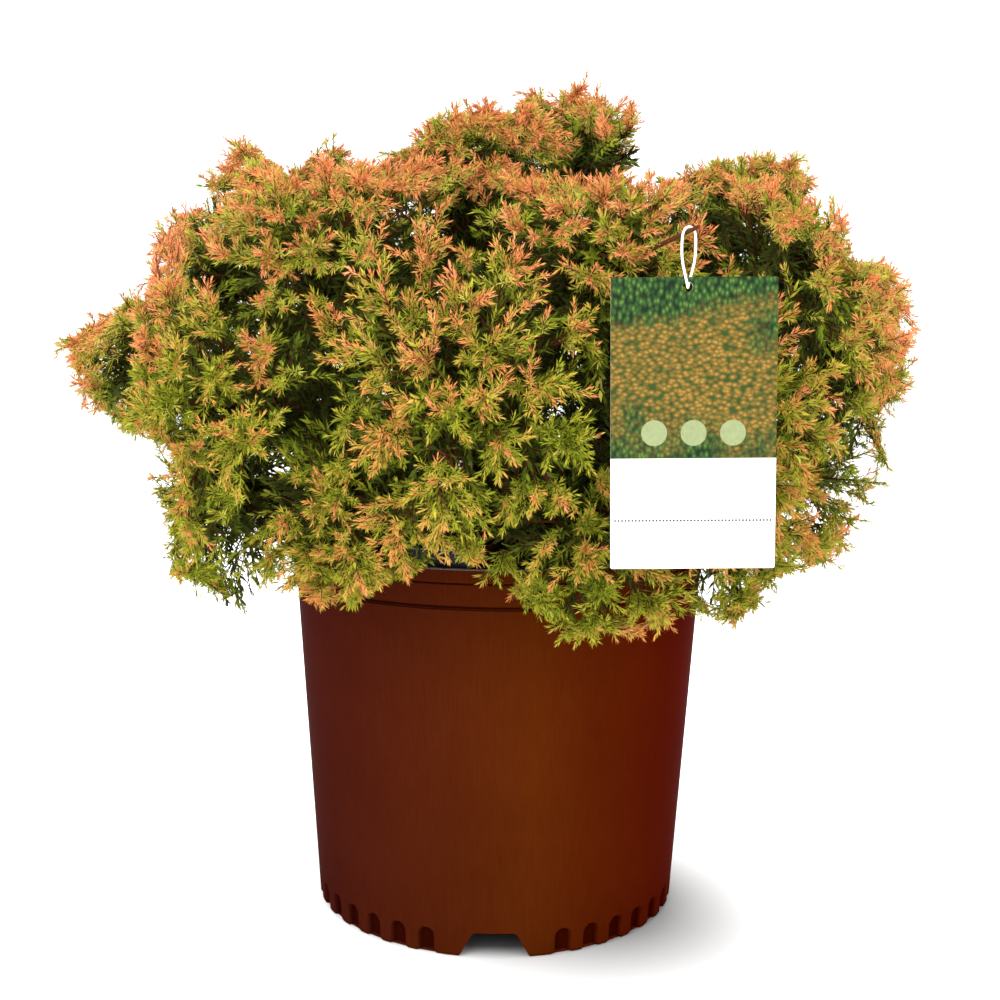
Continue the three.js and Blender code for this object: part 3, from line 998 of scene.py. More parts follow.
@dataclass
class PottingMix:
    """The soil in the pot, heaped a little and strewn with bark chips."""

    pot: Pot
    top: float = 187 * MM
    lumps: float = 1.3 * MM
    chips: int = 420
    columns: int = 120
    rows: int = 42

    def surface(self, x: float, y: float) -> float:
        """The height of the soil at a place."""
        rough = noise.fractal(Vector((x, y, 0)) * 70, 0.6, 2.2, 5)
        return self.top - self.lumps + self.lumps * 0.6 * rough

    def build(self) -> Piece:
        """Makes the soil's piece.

        Returns:
            The soil, which stands for the CAD soil.
        """
        pot = self.pot
        low = pot.channel_height + pot.wall + SEAT
        rim = pot.wall_radius(self.top) - pot.wall - 2 * SEAT
        profile = [(0.0, pot.wall + SEAT), (pot.foot_radius - pot.wall, pot.wall + SEAT)]
        profile.append((pot.foot_radius + pot.channel_width - pot.wall, low))
        profile.append((pot.wall_radius(low) - pot.wall - 2 * SEAT, low))
        profile += [(rim * (1 - k / self.rows), self.top) for k in range(self.rows + 1)]
        shape = spun(profile, self.columns)
        for vertex in shape.verts:
            if vertex.co.z > self.top - MM:
                vertex.co.z = self.surface(vertex.co.x, vertex.co.y)
        bmesh.ops.recalc_face_normals(shape, faces=shape.faces)
        mesh = mesh_from_bmesh("potting_mix", shape, None)
        piece = add_piece("potting_mix", mesh, [SoilFinish().material()], "potting_mix", ["soil"])
        self.strew_chips(rim)
        return piece

    def strew_chips(self, rim: float) -> Piece:
        """Makes the chips as one piece of small roughened slivers.

        Args:
            rim: How far from the axis the soil reaches.

        Returns:
            The chips' piece.
        """
        random = np.random.default_rng(11)
        noise.seed_set(11)
        shape = bmesh.new()
        for _ in range(self.chips):
            radius = rim * 0.96 * math.sqrt(random.random())
            turn = random.random() * 2 * math.pi
            x, y = radius * math.cos(turn), radius * math.sin(turn)
            size = Vector((random.uniform(3, 9), random.uniform(1.5, 4), random.uniform(0.8, 1.8))) * MM
            place = Matrix.Translation((x, y, self.surface(x, y) + size.z * 0.2))
            lean = Matrix.Rotation(random.uniform(-0.4, 0.4), 4, "X")
            facing = Matrix.Rotation(random.random() * 2 * math.pi, 4, "Z")
            chip = bmesh.ops.create_cube(
                shape, size=1.0, matrix=place @ facing @ lean @ Matrix.Diagonal((*size, 1))
            )
            for vertex in chip["verts"]:
                vertex.co += noise.noise_vector(vertex.co * 900) * 0.5 * MM
        mesh = mesh_from_bmesh("bark_chips", shape, 30)
        return add_piece("bark_chips", mesh, [ChipFinish().material()], "potting_mix", ["soil"])


@dataclass
class RimLabel:
    """A small dark plate that stands in the soil just inside the front of the rim."""

    azimuth: float = -107.0
    radius: float = 111 * MM
    width: float = 36 * MM
    thickness: float = 1.2 * MM
    foot: float = 187 * MM
    top: float = 218.5 * MM
    edge: float = 0.7 * MM

    def build(self) -> Piece:
        """Makes the label's piece, with a pale edge.

        Returns:
            The label, which stands for the CAD label.
        """
        height = self.top - self.foot - SEAT
        middle = Matrix.Translation((self.radius, 0, self.foot + SEAT + height / 2))
        turn = Matrix.Rotation(math.radians(self.azimuth), 4, "Z")
        size = Matrix.Diagonal((self.thickness, self.width, height, 1))
        shape = bmesh.new()
        bmesh.ops.create_cube(shape, size=1.0, matrix=turn @ middle @ size)
        big = sorted(shape.faces, key=lambda face: -face.calc_area())[:2]
        bmesh.ops.inset_individual(shape, faces=big, thickness=self.edge, depth=0)
        for face in shape.faces:
            face.material_index = 0 if face in big else 1
        mesh = mesh_from_bmesh("rim_label_plate", shape, 30)
        dark = PlainPlastic("label_face", "17101c", "251a2b", 0.35)
        pale = PlainPlastic("label_edge", "6d6570", "8d8690", 0.4)
        finishes = [dark.material(), pale.material()]
        return add_piece("rim_label_plate", mesh, finishes, "label_plastic", ["rim_label"])


# Limbs


@dataclass
class Trunk:
    """The leaning stem, as a quadratic curve that widens at its foot."""

    foot: Triple = (-19 * MM, -5 * MM, 187.3 * MM)
    middle: Triple = (-13 * MM, -2 * MM, 252 * MM)
    tip: Triple = (0.0, 0.0, 336 * MM)
    foot_radius: float = 8.5 * MM
    tip_radius: float = 2.6 * MM
    flare: float = 4.5 * MM
    flare_height: float = 12 * MM
    samples: int = 400

    def curve(self) -> Curves:
        """The stem's middle as one curve."""
        return Curves(*(np.array([point]) for point in (self.foot, self.middle, self.tip)))

    def lengthwise(self) -> tuple[Array, Array]:
        """Evenly spaced shares of the stem's length, and the stem's points there.

        Returns:
            The shares and the points.
        """
        fine = self.curve().at(np.linspace(0, 1, self.samples)[None])[0]
        run = np.concatenate([[0], np.cumsum(np.linalg.norm(np.diff(fine, axis=0), axis=1))])
        share = run / run[-1]
        even = np.arange(0, 1.0001, 0.005)
        points = np.stack([np.interp(even, share, fine[:, k]) for k in range(3)], 1)
        return even, points

    def radius(self, share: float) -> float:
        """The stem's radius at a share of its length.

        Args:
            share: The share, from 0 to 1.

        Returns:
            The radius.
        """
        rise = share * (self.tip[2] - self.foot[2])
        flare = self.flare * max(0.0, 1 - rise / self.flare_height) ** 2
        return self.foot_radius + (self.tip_radius - self.foot_radius) * share + flare

    def at_height(self, height: float) -> tuple[float, Array]:
        """The share of the stem's length, and its point, where it reaches a height.

        Args:
            height: The height.

        Returns:
            The share and the point.
        """
        shares, points = self.lengthwise()
        index = int(np.argmax(points[:, 2] >= height))
        return float(shares[index]), points[index]


class LimbMaker:
    """Sweeps rings along a path with bmesh and roughens them into bark."""

    def __init__(self, sides: int, relief: float, grain: float) -> None:
        """Sets how finely a limb is made.

        Args:
            sides: How many sides it has.
            relief: How deep its furrows are.
            grain: How many furrows a metre has round the limb.
        """
        self.sides = sides
        self.relief = relief
        self.grain = grain

    def ring_matrix(self, point: Array, along: Array, radius: float) -> Matrix:
        """The frame of a ring: its middle, its direction and its size."""
        turn = Vector(along).to_track_quat("Z", "Y").to_matrix().to_4x4()
        return Matrix.Translation(Vector(point)) @ turn @ Matrix.Diagonal((radius, radius, radius, 1))

    def sweep(self, shape: Shape, points: Array, along: Array, radii: list[float]) -> None:
        """Adds one closed limb to a shape.

        Args:
            shape: Where the limb goes.
            points: The middles of its rings.
            along: The directions there.
            radii: The radii there.
        """
        last = self.ring_matrix(points[0], along[0], radii[0])
        made = bmesh.ops.create_circle(shape, cap_ends=False, segments=self.sides, radius=1.0, matrix=last)
        mine = list(made["verts"])
        edges = list({edge for vertex in mine for edge in vertex.link_edges})
        bmesh.ops.contextual_create(shape, geom=edges)
        for point, direction, radius in zip(points[1:], along[1:], radii[1:]):
            grown = bmesh.ops.extrude_edge_only(shape, edges=edges)["geom"]
            ring = [item for item in grown if isinstance(item, bmesh.types.BMVert)]
            edges = [
                item
                for item in grown
                if isinstance(item, bmesh.types.BMEdge) and all(v in ring for v in item.verts)
            ]
            frame_now = self.ring_matrix(point, direction, radius)
            bmesh.ops.transform(shape, matrix=frame_now @ last.inverted(), verts=ring)
            last = frame_now
            mine += ring
        bmesh.ops.contextual_create(shape, geom=edges)
        self.roughen(mine, points)

    def roughen(self, vertices: list[bmesh.types.BMVert], points: Array) -> None:
        """Moves a limb's vertices in and out of its middle line by drawn-out noise.

        Args:
            vertices: The limb's vertices.
            points: The points of its middle line.
        """
        for vertex in vertices:
            nearest = points[np.argmin(((points - np.array(vertex.co)) ** 2).sum(1))]
            outward = vertex.co - Vector(nearest)
            place = Vector((vertex.co.x, vertex.co.y, vertex.co.z * 0.16)) * self.grain
            depth = noise.fractal(place, 0.8, 2.1, 4) * self.relief
            if vertex.co.z > 188.5 * MM:
                vertex.co += outward.normalized() * depth


@dataclass(frozen=True)
class Tier:
    """One storey of the crown: where its boughs leave the stem and where its masses lie."""

    name: str
    bough_height: float
    heart_share: float
    heart_height: float
    core: float
    under_tip: bool
    rows: tuple[tuple[float, float, float], ...]


TIERS = (
    Tier(
        "low", 199, 0.8, 242, 27, False,
        (
            (-163, 204, 167), (-119, 184, 192), (-74, 174, 171), (-36, 176, 171),
            (6, 222, 192), (62, 196, 184), (128, 196, 184),
        ),
    ),
    Tier(
        "middle", 226, 0.76, 300, 28, False,
        (
            (179, 262, 322), (-138, 234, 284), (-96, 222, 292), (-52, 222, 292),
            (-4, 256, 312), (44, 240, 306), (92, 226, 300), (136, 240, 304),
        ),
    ),
    Tier(
        "upper", 262, 0.77, 358, 28, True,
        (
            (172, 216, 398), (-124, 190, 392), (-72, 186, 386), (-30, 222, 386),
            (10, 242, 386), (62, 206, 396), (118, 204, 400),
        ),
    ),
    Tier(
        "top", 298, 0.74, 414, 27, True,
        ((168, 168, 445), (-118, 84, 456), (10, 60, 485), (-8, 180, 438), (96, 112, 452)),
    ),
)


@dataclass
class Mass:
    """One mass of foliage: its heart, its furthest tip, its bough and the walls of its space."""

    tier: Tier
    index: int
    azimuth: float
    heart: Array
    tip: Array
    bough: Curves
    stem_start: Array
    outward: Array
    level: Array
    upright: Array
    normals: Array = field(default_factory=lambda: np.zeros((0, 3)))
    offsets: Array = field(default_factory=lambda: np.zeros(0))

    @property
    def name(self) -> str:
        """The mass's name, as its CAD node has it."""
        return f"{self.tier.name}_{self.index + 1}"

    def share_inside(self, start: Array, ray: Array, slack: float = 0.0) -> Array:
        """How much of each ray stays inside the mass's space, from 0 to 1.

        Args:
            start: Where the rays start.
            ray: The rays.
            slack: How far past a wall a ray may go.

        Returns:
            A share for each ray.
        """
        climb = ray @ self.normals.T
        room = self.offsets + slack - start @ self.normals.T
        share = np.where(climb > 1e-9, room / np.maximum(climb, 1e-9), 1.0)
        return np.clip(share.min(-1), 0.0, 1.0)

    def span_inside(self, start: Array, ways: Array, slack: float) -> tuple[Array, Array]:
        """Where straight lines from one point enter and leave the mass's space.

        Args:
            start: The point.
            ways: The lines' directions.
            slack: How far the space reaches past its walls.

        Returns:
            The distances at which each line enters and leaves.
        """
        climb = ways @ self.normals.T
        climb = np.where(np.abs(climb) < 1e-9, 1e-9, climb)
        at = (self.offsets + slack - self.normals @ start) / climb
        near = np.where(climb < 0, at, 0.0).max(-1)
        far = np.where(climb > 0, at, 1.0).min(-1)
        return near, far

    def depth(self, places: Array, roundness: float) -> Array:
        """How far places lie inside the round outline that passes through the mass's tip.

        Args:
            places: The places.
            roundness: How fast the outline draws in beside the tip.

        Returns:
            The depths, below zero outside.
        """
        spoke = self.tip - np.array(CROWN_MIDDLE)
        reach = np.linalg.norm(spoke)
        ways = places - np.array(CROWN_MIDDLE)
        off = np.arccos(np.clip(unit(ways) @ (spoke / reach), -1, 1))
        return reach * (1 - roundness * off**2) - np.linalg.norm(ways, axis=-1)


@dataclass(frozen=True)
class Silhouette:
    """The crown's outline from the photograph's place, drawn in the upright plane through the stem.

    Attributes:
        eye: Where the outline is seen from.
        points: The outline's corners, sideways and up, in millimetres.
    """

    eye: Triple = (0.0, -0.765, 0.311)
    points: tuple[tuple[float, float], ...] = (
        (-264, 322), (-236, 345), (-210, 360), (-203, 392), (-169, 432), (-157, 444), (-143, 438),
        (-129, 422), (-114, 429), (-101, 450), (-85, 436), (-59, 442), (-26, 466), (2, 467),
        (20, 480), (32, 470), (50, 481), (63, 462), (78, 475), (90, 439), (104, 429), (142, 435),
        (174, 437), (190, 415), (200, 410), (207, 374), (233, 378), (250, 336), (242, 298),
        (228, 281), (238, 260), (227, 232), (206, 193), (177, 190), (165, 174), (144, 150),
        (126, 165), (99, 140), (66, 148), (36, 139), (8, 174), (-34, 188), (-58, 180), (-90, 165),
        (-110, 163), (-127, 178), (-168, 154), (-187, 180), (-205, 181), (-197, 215), (-209, 245),
        (-206, 268), (-241, 275), (-257, 298),
    )

    def contains(self, places: Array, inset: Array | float) -> Array:
        """Which places are inside the outline by at least an inset.

        Args:
            places: The places, in the frame.
            inset: The least distance to the outline.

        Returns:
            True for each place inside.
        """
        eye = np.array(self.eye)
        stretch = -eye[1] / (places[..., 1] - eye[1])
        flat = (eye + (places - eye) * stretch[..., None])[..., (0, 2)] - np.array(CROWN_MIDDLE)[[0, 2]]
        flat = flat * (1 + inset / np.maximum(np.linalg.norm(flat, axis=-1), MM))[..., None]
        corners = np.array(self.points) * MM - np.array(CROWN_MIDDLE)[[0, 2]]
        crossed = np.zeros(flat.shape[:-1], bool)
        for (x, z), (x_next, z_next) in zip(corners, np.roll(corners, -1, 0)):
            spans = (z > flat[..., 1]) != (z_next > flat[..., 1])
            edge = x + (flat[..., 1] - z) * (x_next - x) / ((z_next - z) or 1e-9)
            crossed ^= spans & (flat[..., 0] < edge)
        return crossed


@dataclass
class CrownPlan:
    """Works out every mass from the tiers, by the rule that the CAD source follows."""

    trunk: Trunk
    pot: Pot
    cell_gap: float = 1.4 * MM
    tip_slack: float = 3 * MM
    stagger: float = 11 * MM
    bough_foot: float = 2.9 * MM
    bough_tip: float = 1.7 * MM
    bough_rise: float = 0.09

    def masses(self) -> list[Mass]:
        """Every mass, with the walls of its space.

        Returns:
            The masses, from the lowest tier up.
        """
        found = [self.mass(tier, index) for tier in TIERS for index in range(len(tier.rows))]
        for mass in found:
            self.wall_in(mass, found)
        return found

    def mass(self, tier: Tier, index: int) -> Mass:
        """One mass, before its walls are known.

        Args:
            tier: Its tier.
            index: Its row in the tier.

        Returns:
            The mass.
        """
        azimuth, reach, tip_height = tier.rows[index]
        tip = polar(azimuth, reach * MM, tip_height * MM)
        mean = sum(row[2] for row in tier.rows) / len(tier.rows)
        heart_height = (tier.heart_height + 0.5 * (tip_height - mean)) * MM
        heart = polar(azimuth, reach * MM * tier.heart_share, heart_height)
        share, foot = self.trunk.at_height(tier.bough_height * MM + (index % 3) * self.stagger)
        inward = unit(foot - heart)
        stem_start = heart + inward * (tier.core + 8) * MM
        outward = unit(heart - np.array(CROWN_MIDDLE))
        level = unit(np.cross(UP, outward))
        upright = np.cross(outward, level)
        return Mass(
            tier,
            index,
            azimuth,
            heart,
            tip,
            self.bough(foot, share, stem_start, inward),
            stem_start,
            outward,
            level,
            upright,
        )

    def bough(self, foot: Array, share: float, stem_start: Array, inward: Array) -> Curves:
        """The bough's curve, from just clear of the bark to just short of its mass's stem.

        Args:
            foot: The stem's middle where the bough leaves it.
            share: How far up the stem that is.
            stem_start: Where the mass's own stem starts.
            inward: The way from there to the stem.

        Returns:
            The curve.
        """
        end = stem_start + inward * SEAT
        span = float(np.linalg.norm(end - foot))
        bend = end + inward * span * 0.45 + UP * span * self.bough_rise
        out = unit(bend - foot)
        bark = self.trunk.radius(share) + 1.5 * SEAT
        start = foot + out * (bark + self.bough_foot * out[2]) / math.hypot(out[0], out[1])
        return Curves(start[None], bend[None], end[None])

    def wall_in(self, mass: Mass, masses: list[Mass]) -> None:
        """Gives a mass its walls: half way to each neighbour, its tip's reach and the pot's rim.

        Args:
            mass: The mass.
            masses: All the masses.
        """
        normals = []
        offsets = []
        for other in masses:
            if other is not mass:
                normal = unit(other.heart - mass.heart)
                normals.append(normal)
                offsets.append(normal @ (other.heart + mass.heart) / 2 - self.cell_gap / 2)
        if mass.tier.under_tip:
            normals.append(UP)
            offsets.append(mass.tip[2] + self.tip_slack)
        outwards = polar(mass.azimuth, 1, 0)
        normals.append(outwards)
        offsets.append(outwards @ mass.tip + self.tip_slack)
        slope = -1.0 if mass.tier.name == "low" else 0.0
        down = unit(polar(mass.azimuth, slope, -1.0))
        normals.append(down)
        offsets.append(down @ polar(mass.azimuth, self.pot.rim_radius + 4 * MM, self.pot.height + 4 * MM))
        mass.normals = np.array(normals)
        mass.offsets = np.array(offsets)


@dataclass
class Framework:
    """The stem and the boughs, swept with the bark's relief."""

    trunk: Trunk
    plan: CrownPlan
    masses: list[Mass]

    def build(self) -> None:
        """Makes the stem's piece and the boughs' piece."""
        finish = BarkFinish().material()
        self.build_trunk(finish)
        self.build_boughs(finish)

    def build_trunk(self, finish: Material) -> Piece:
        """Makes the stem, cut flat where it meets the soil.

        Args:
            finish: The bark.

        Returns:
            The stem's piece.
        """
        share = np.linspace(0, 1, 90)
        curve = self.trunk.curve()
        points = curve.at(share[None])[0]
        along = curve.along(share[None])[0]
        along[share < 0.04] = UP
        radii = [self.trunk.radius(float(s)) for s in share]
        shape = bmesh.new()
        LimbMaker(36, 0.7 * MM, 420).sweep(shape, points, along, radii)
        bmesh.ops.recalc_face_normals(shape, faces=shape.faces)
        mesh = mesh_from_bmesh("trunk_bark", shape, 60)
        return add_piece("trunk_bark", mesh, [finish], "bark", ["trunk"])

    def build_boughs(self, finish: Material) -> Piece:
        """Makes all the boughs as one piece.

        Args:
            finish: The bark.

        Returns:
            The boughs' piece.
        """
        shape = bmesh.new()
        share = np.linspace(-0.05, 1, 27)
        maker = LimbMaker(12, 0.25 * MM, 700)
        for mass in self.masses:
            points = mass.bough.at(share[None])[0]
            along = mass.bough.along(share[None])[0]
            radii = [self.plan.bough_foot + (self.plan.bough_tip - self.plan.bough_foot) * s for s in share]
            maker.sweep(shape, points, along, radii)
        bmesh.ops.recalc_face_normals(shape, faces=shape.faces)
        mesh = mesh_from_bmesh("bough_bark", shape, 60)
        nodes = [f"bough_{mass.name}" for mass in self.masses]
        return add_piece("bough_bark", mesh, [finish], "bark", nodes)


# Tag


@dataclass
class Tag:
    """The hang tag: a card with a printed panel over a blank one, on a thin elastic loop."""

    width: float = 71.5 * MM
    height: float = 125.5 * MM
    thickness: float = 0.7 * MM
    centre_x: float = 83.5 * MM
    y: float = -204 * MM
    bottom: float = 225 * MM
    hole_x: float = 80.6 * MM
    lean: float = math.radians(-1.0)
    hole_drop: float = 4.2 * MM
    hole_radius: float = 2.2 * MM
    panel_foot: float = 48 * MM
    dots_height: float = 21 * MM
    clear: float = 2.5 * MM
    wire_radius: float = 0.55 * MM
    loop_half_width: float = 3 * MM
    loop_height: float = 26 * MM

    @property
    def turn(self) -> Matrix:
        """The small turn about the card's middle with which it hangs."""
        middle = Vector((self.centre_x, self.y, self.bottom + self.height / 2))
        return Matrix.Translation(middle) @ Matrix.Rotation(self.lean, 4, "Y") @ Matrix.Translation(-middle)

    @property
    def flat_hole(self) -> Vector:
        """The middle of the hole before the card is turned."""
        return Vector((self.hole_x, self.y, self.bottom + self.height - self.hole_drop))

    @property
    def hole(self) -> Array:
        """The middle of the hole."""
        return np.array(self.turn @ self.flat_hole)

    @property
    def hook(self) -> Array:
        """Where the twig passes under the top of the loop."""
        below = 2 * self.wire_radius + SEAT + 1.2 * MM
        return self.hole + UP * (self.loop_height - below)

    def hides(self, points: Array) -> Array:
        """Which points lie in front of the tag, or in its loop's way.

        Args:
            points: The points.

        Returns:
            True for each that does.
        """
        half = self.width / 2 + self.clear
        across = np.abs(points[..., 0] - self.centre_x) < half
        top = self.bottom + self.height + self.clear
        up = (points[..., 2] > self.bottom - self.clear) & (points[..., 2] < top)
        card = across & up & (points[..., 1] < self.y + self.clear)
        by_loop = np.abs(points[..., 0] - self.hole[0]) < self.loop_half_width + 3 * MM
        over = (points[..., 2] >= top) & (points[..., 2] < top + self.loop_height)
        return card | (by_loop & over & (points[..., 1] < self.y + 4 * MM))

    def card(self) -> Mesh:
        """The card, a thin block with rounded corners.

        Returns:
            The card's mesh, still whole.
        """
        shape = bmesh.new()
        size = Matrix.Diagonal((self.width, self.thickness, self.height, 1))
        middle = (self.centre_x, self.y, self.bottom + self.height / 2)
        bmesh.ops.create_cube(shape, size=1.0, matrix=Matrix.Translation(middle) @ size)
        corners = [edge for edge in shape.edges if self.is_corner(edge)]
        bmesh.ops.bevel(
            shape, geom=corners, offset=0.8 * MM, segments=4, profile=0.5, affect="EDGES", material=-1
        )
        return mesh_from_bmesh("tag_card", shape, 30)

    def is_corner(self, edge: bmesh.types.BMEdge) -> bool:
        """True for an edge that runs through the card's thickness."""
        span = edge.verts[1].co - edge.verts[0].co
        return abs(span.y) > self.thickness * 0.5

    def punched(self, mesh: Mesh) -> Mesh:
        """The card with a round hole through it.

        Args:
            mesh: The whole card.

        Returns:
            The card with its hole.
        """
        cutter_shape = bmesh.new()
        place = Matrix.Translation(self.flat_hole) @ Matrix.Rotation(math.pi / 2, 4, "X")
        bmesh.ops.create_cone(
            cutter_shape,
            cap_ends=True,
            segments=32,
            radius1=self.hole_radius,
            radius2=self.hole_radius,
            depth=self.thickness * 6,
            matrix=place,
        )
        return cut_away(mesh, mesh_from_bmesh("hole_cutter", cutter_shape))

    def dress(self, mesh: Mesh) -> Mesh:
        """Divides the front at the printed panel's foot and gives each part its material index.

        Args:
            mesh: The card with its hole.

        Returns:
            The card with its panels and prints.
        """
        shape = bmesh.new()
        shape.from_mesh(mesh)
        line = (0, 0, self.bottom + self.panel_foot)
        geometry = list(shape.verts) + list(shape.edges) + list(shape.faces)
        bmesh.ops.bisect_plane(shape, geom=geometry, plane_co=line, plane_no=(0, 0, 1), dist=1e-7)
        for face in shape.faces:
            front = face.normal.y < -0.9
            above = face.calc_center_median().z > line[2]
            face.material_index = 1 if front and above else 0
        self.add_prints(shape)
        return mesh_from_bmesh("tag_card", shape, 30)

    def add_prints(self, shape: Shape) -> None:
        """Adds the plain discs on the panel and the row of dots under it, as thin raised prints.

        Args:
            shape: The card.
        """
        front = self.y - self.thickness / 2
        for k in range(3):
            x = self.centre_x + (k - 1) * 17 * MM
            self.add_disc(shape, x, self.bottom + self.panel_foot + 11 * MM, front, 5.6 * MM, 2)
        pitch = 1.5 * MM
        count = int((self.width - 2 * MM) / pitch)
        left = self.centre_x - pitch * (count - 1) / 2
        for k in range(count):
            self.add_disc(shape, left + k * pitch, self.bottom + self.dots_height, front, 0.52 * MM, 3, 8)

    def add_disc(
        self,
        shape: Shape,
        x: float,
        z: float,
        front: float,
        radius: float,
        finish: int,
        segments: int = 40,
    ) -> None:
        """Adds one thin printed disc on the card's front.

        Args:
            shape: The card.
            x: The disc's place sideways.
            z: Its height.
            front: Where the card's front is.
            radius: Its radius.
            finish: Its material index.
            segments: How many sides it has.
        """
        proud = 0.06 * MM
        place = Matrix.Translation((x, front - proud / 2, z)) @ Matrix.Rotation(math.pi / 2, 4, "X")
        made = bmesh.ops.create_cone(
            shape,
            cap_ends=True,
            segments=segments,
            radius1=radius,
            radius2=radius,
            depth=proud,
            matrix=place,
        )
        for face in {face for vertex in made["verts"] for face in vertex.link_faces}:
            face.material_index = finish

    def loop_route(self) -> list[Vector]:
        """The points of the elastic, from the foot of its loop in the hole round and back.

        Returns:
            The points, in order.
        """
        proud = self.thickness / 2 + SEAT + self.wire_radius
        wide = self.loop_half_width
        top = self.loop_height - self.wire_radius
        half = [
            (-0.4 * MM, -proud * 1.05, 0.7 * MM),
            (-1.2 * MM, -proud * 1.1, self.hole_drop),
            (-wide, -proud * 0.6, top * 0.45),
            (-wide, -0.1 * MM, top * 0.83),
            (-wide * 0.66, 0.0, top * 0.96),
        ]
        back = [(-x, -y, z) for x, y, z in reversed(half)]
        route = [(0.0, 0.0, -0.6 * MM), *half, (0.0, 0.0, top), *back]
        return [Vector(point) + Vector(self.hole) for point in route]

    def loop_mesh(self) -> Mesh:
        """The elastic as a closed smooth ring.

        Returns:
            The elastic's mesh.
        """
        curve = bpy.data.curves.new("elastic", "CURVE")
        curve.dimensions = "3D"
        curve.bevel_depth = self.wire_radius
        curve.bevel_resolution = 3
        curve.resolution_u = 10
        spline = curve.splines.new("NURBS")
        route = self.loop_route()
        spline.points.add(len(route) - 1)
        for point, place in zip(spline.points, route):
            point.co = (*place, 1.0)
        spline.order_u = 3
        spline.use_cyclic_u = True
        carrier = placed("elastic", curve)
        graph = bpy.context.evaluated_depsgraph_get()
        mesh = bpy.data.meshes.new_from_object(carrier.evaluated_get(graph))
        bpy.data.objects.remove(carrier)
        mesh.name = "tag_elastic"
        return mesh

    def build(self) -> None:
        """Makes the card's piece and the elastic's piece."""
        low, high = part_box("tag")
        card = PlainPlastic("tag_white", "eceee8", "f6f7f2", 0.4).material()
        picture = PictureFinish(low.z + self.panel_foot, high.z).material()
        disc = PlainPlastic("tag_disc", "78825a", "828c62", 0.4).material()
        dots = PlainPlastic("tag_dots", "303432", "3c403e", 0.5).material()
        mesh = self.dress(self.punched(self.card()))
        mesh.transform(self.turn)
        add_piece("tag_card", mesh, [card, picture, disc, dots], "tag_card", ["tag"])
        elastic = PlainPlastic("tag_elastic", "e8e8e2", "fafaf6", 0.5).material()
        add_piece("tag_elastic", self.loop_mesh(), [elastic], "tag_elastic", ["tag_loop"])


# Foliage


# A usual needle's length
NEEDLE = 4.4 * MM
# The crown opens beyond this distance from its middle and below this height
OPEN_BESIDE = 0.135
OPEN_BELOW = 0.3
OPEN_FADE = 0.05
# Sun grows from this height upwards, and a share of it reaches the crown's two sides
SUN_FOOT = 0.29
SUN_RISE = 0.14
SUN_BESIDE = 0.15
SUN_FADE = 0.05
SUN_AT_SIDES = 0.42


@dataclass(frozen=True)
class Whorls:
    """Whorls of needles: how many, how far apart, their angle inside and at the tip, and a needle's size."""

    rows: int
    spacing: float = 1.3 * MM
    opening: float = 62
    closing: float = 16
    length: float = NEEDLE
    half_width: float = 0.34 * MM


@dataclass(frozen=True)
class Plumes:
    """How plumes grow: leaders, shoots to tips spread evenly over the outline, shootlets and needles."""

    leaders: int = 22
    backward: float = 0.3
    leader_length: float = 98 * MM
    leader_inset: float = 8 * MM
    leader_needles: Whorls = Whorls(14, 3.4 * MM, 60, 35, NEEDLE * 1.7, 0.75 * MM)
    leader_shortest: float = 18 * MM
    leader_setback: float = 45 * MM
    upturn: float = 0.3
    fringe: float = 2.5 * MM
    tip_inset: float = 12 * MM
    shoot_slope: float = 1.5
    shoot_limit: float = 75 * MM
    shoot_shortest: float = 7 * MM
    shoot_needles: Whorls = Whorls(10)
    aside_inset: float = 0.24
    aside_free: float = 5 * MM
    aside_limit: float = 45 * MM
    ageing: float = 0.55
    side_shoots: int = 3
    side_length: float = 20 * MM
    side_needles: Whorls = Whorls(8)
    shootlets: int = 3
    shootlet_length: float = 6.5 * MM
    shootlet_needles: Whorls = Whorls(4)
    needles_round: int = 3
    roundness: float = 0.3
    shade_shoots: int = 145
    shade_on_leaders: float = 0.55
    shade_length: float = 62 * MM
    shade_shortest: float = 13 * MM
    shade_needles: Whorls = Whorls(12, 3.4 * MM, 60, 30, 8.5 * MM, 1.0 * MM)
    hook_needles: Whorls = Whorls(44, 1.0 * MM, 62, 48, 5.5 * MM)
    shade_depth: float = 13 * MM
    stem_twig: Twig = Twig(1.7 * MM, 1.5 * MM, 7, 2)
    leader_twig: Twig = Twig(0.75 * MM, 0.25 * MM, 4, 5)
    shoot_twig: Twig = Twig(0.38 * MM, 0.16 * MM, 3, 2)
    shade_twig: Twig = Twig(0.6 * MM, 0.3 * MM, 3, 2)
    hook_twig: Twig = Twig(1.6 * MM, 0.9 * MM, 9, 6)
    shootlet_radius: float = 0.2 * MM


@dataclass
class Stems:
    """Stems that carry needles: each one's own tone, its tip's way from the young end, and its sun."""

    curves: Curves
    tone: Array
    age: Array
    sun: Array

    def chosen(self, keep: Array) -> "Stems":
        """The stems that keep marks."""
        return Stems(self.curves.chosen(keep), self.tone[keep], self.age[keep], self.sun[keep])


def even_ways(count: int) -> Array:
    """Directions spread evenly to every side, along a golden spiral.

    Args:
        count: How many directions there are.

    Returns:
        A unit vector in each row.
    """
    order = np.arange(count) + 0.5
    height = 1 - 2 * order / count
    turn = order * GOLDEN_TURN
    flat = np.sqrt(1 - height**2)
    return np.stack([flat * np.cos(turn), flat * np.sin(turn), height], 1)


def looseness(places: Array) -> Array:
    """How open the crown is at each place, from 0 to 1: it is loosest low down at its two sides.

    Args:
        places: The places.

    Returns:
        A share for each place.
    """
    beside = np.clip((np.abs(places[..., 0]) - OPEN_BESIDE) / OPEN_FADE, 0, 1)
    below = np.clip((OPEN_BELOW - places[..., 2]) / OPEN_FADE, 0, 1)
    return beside * below


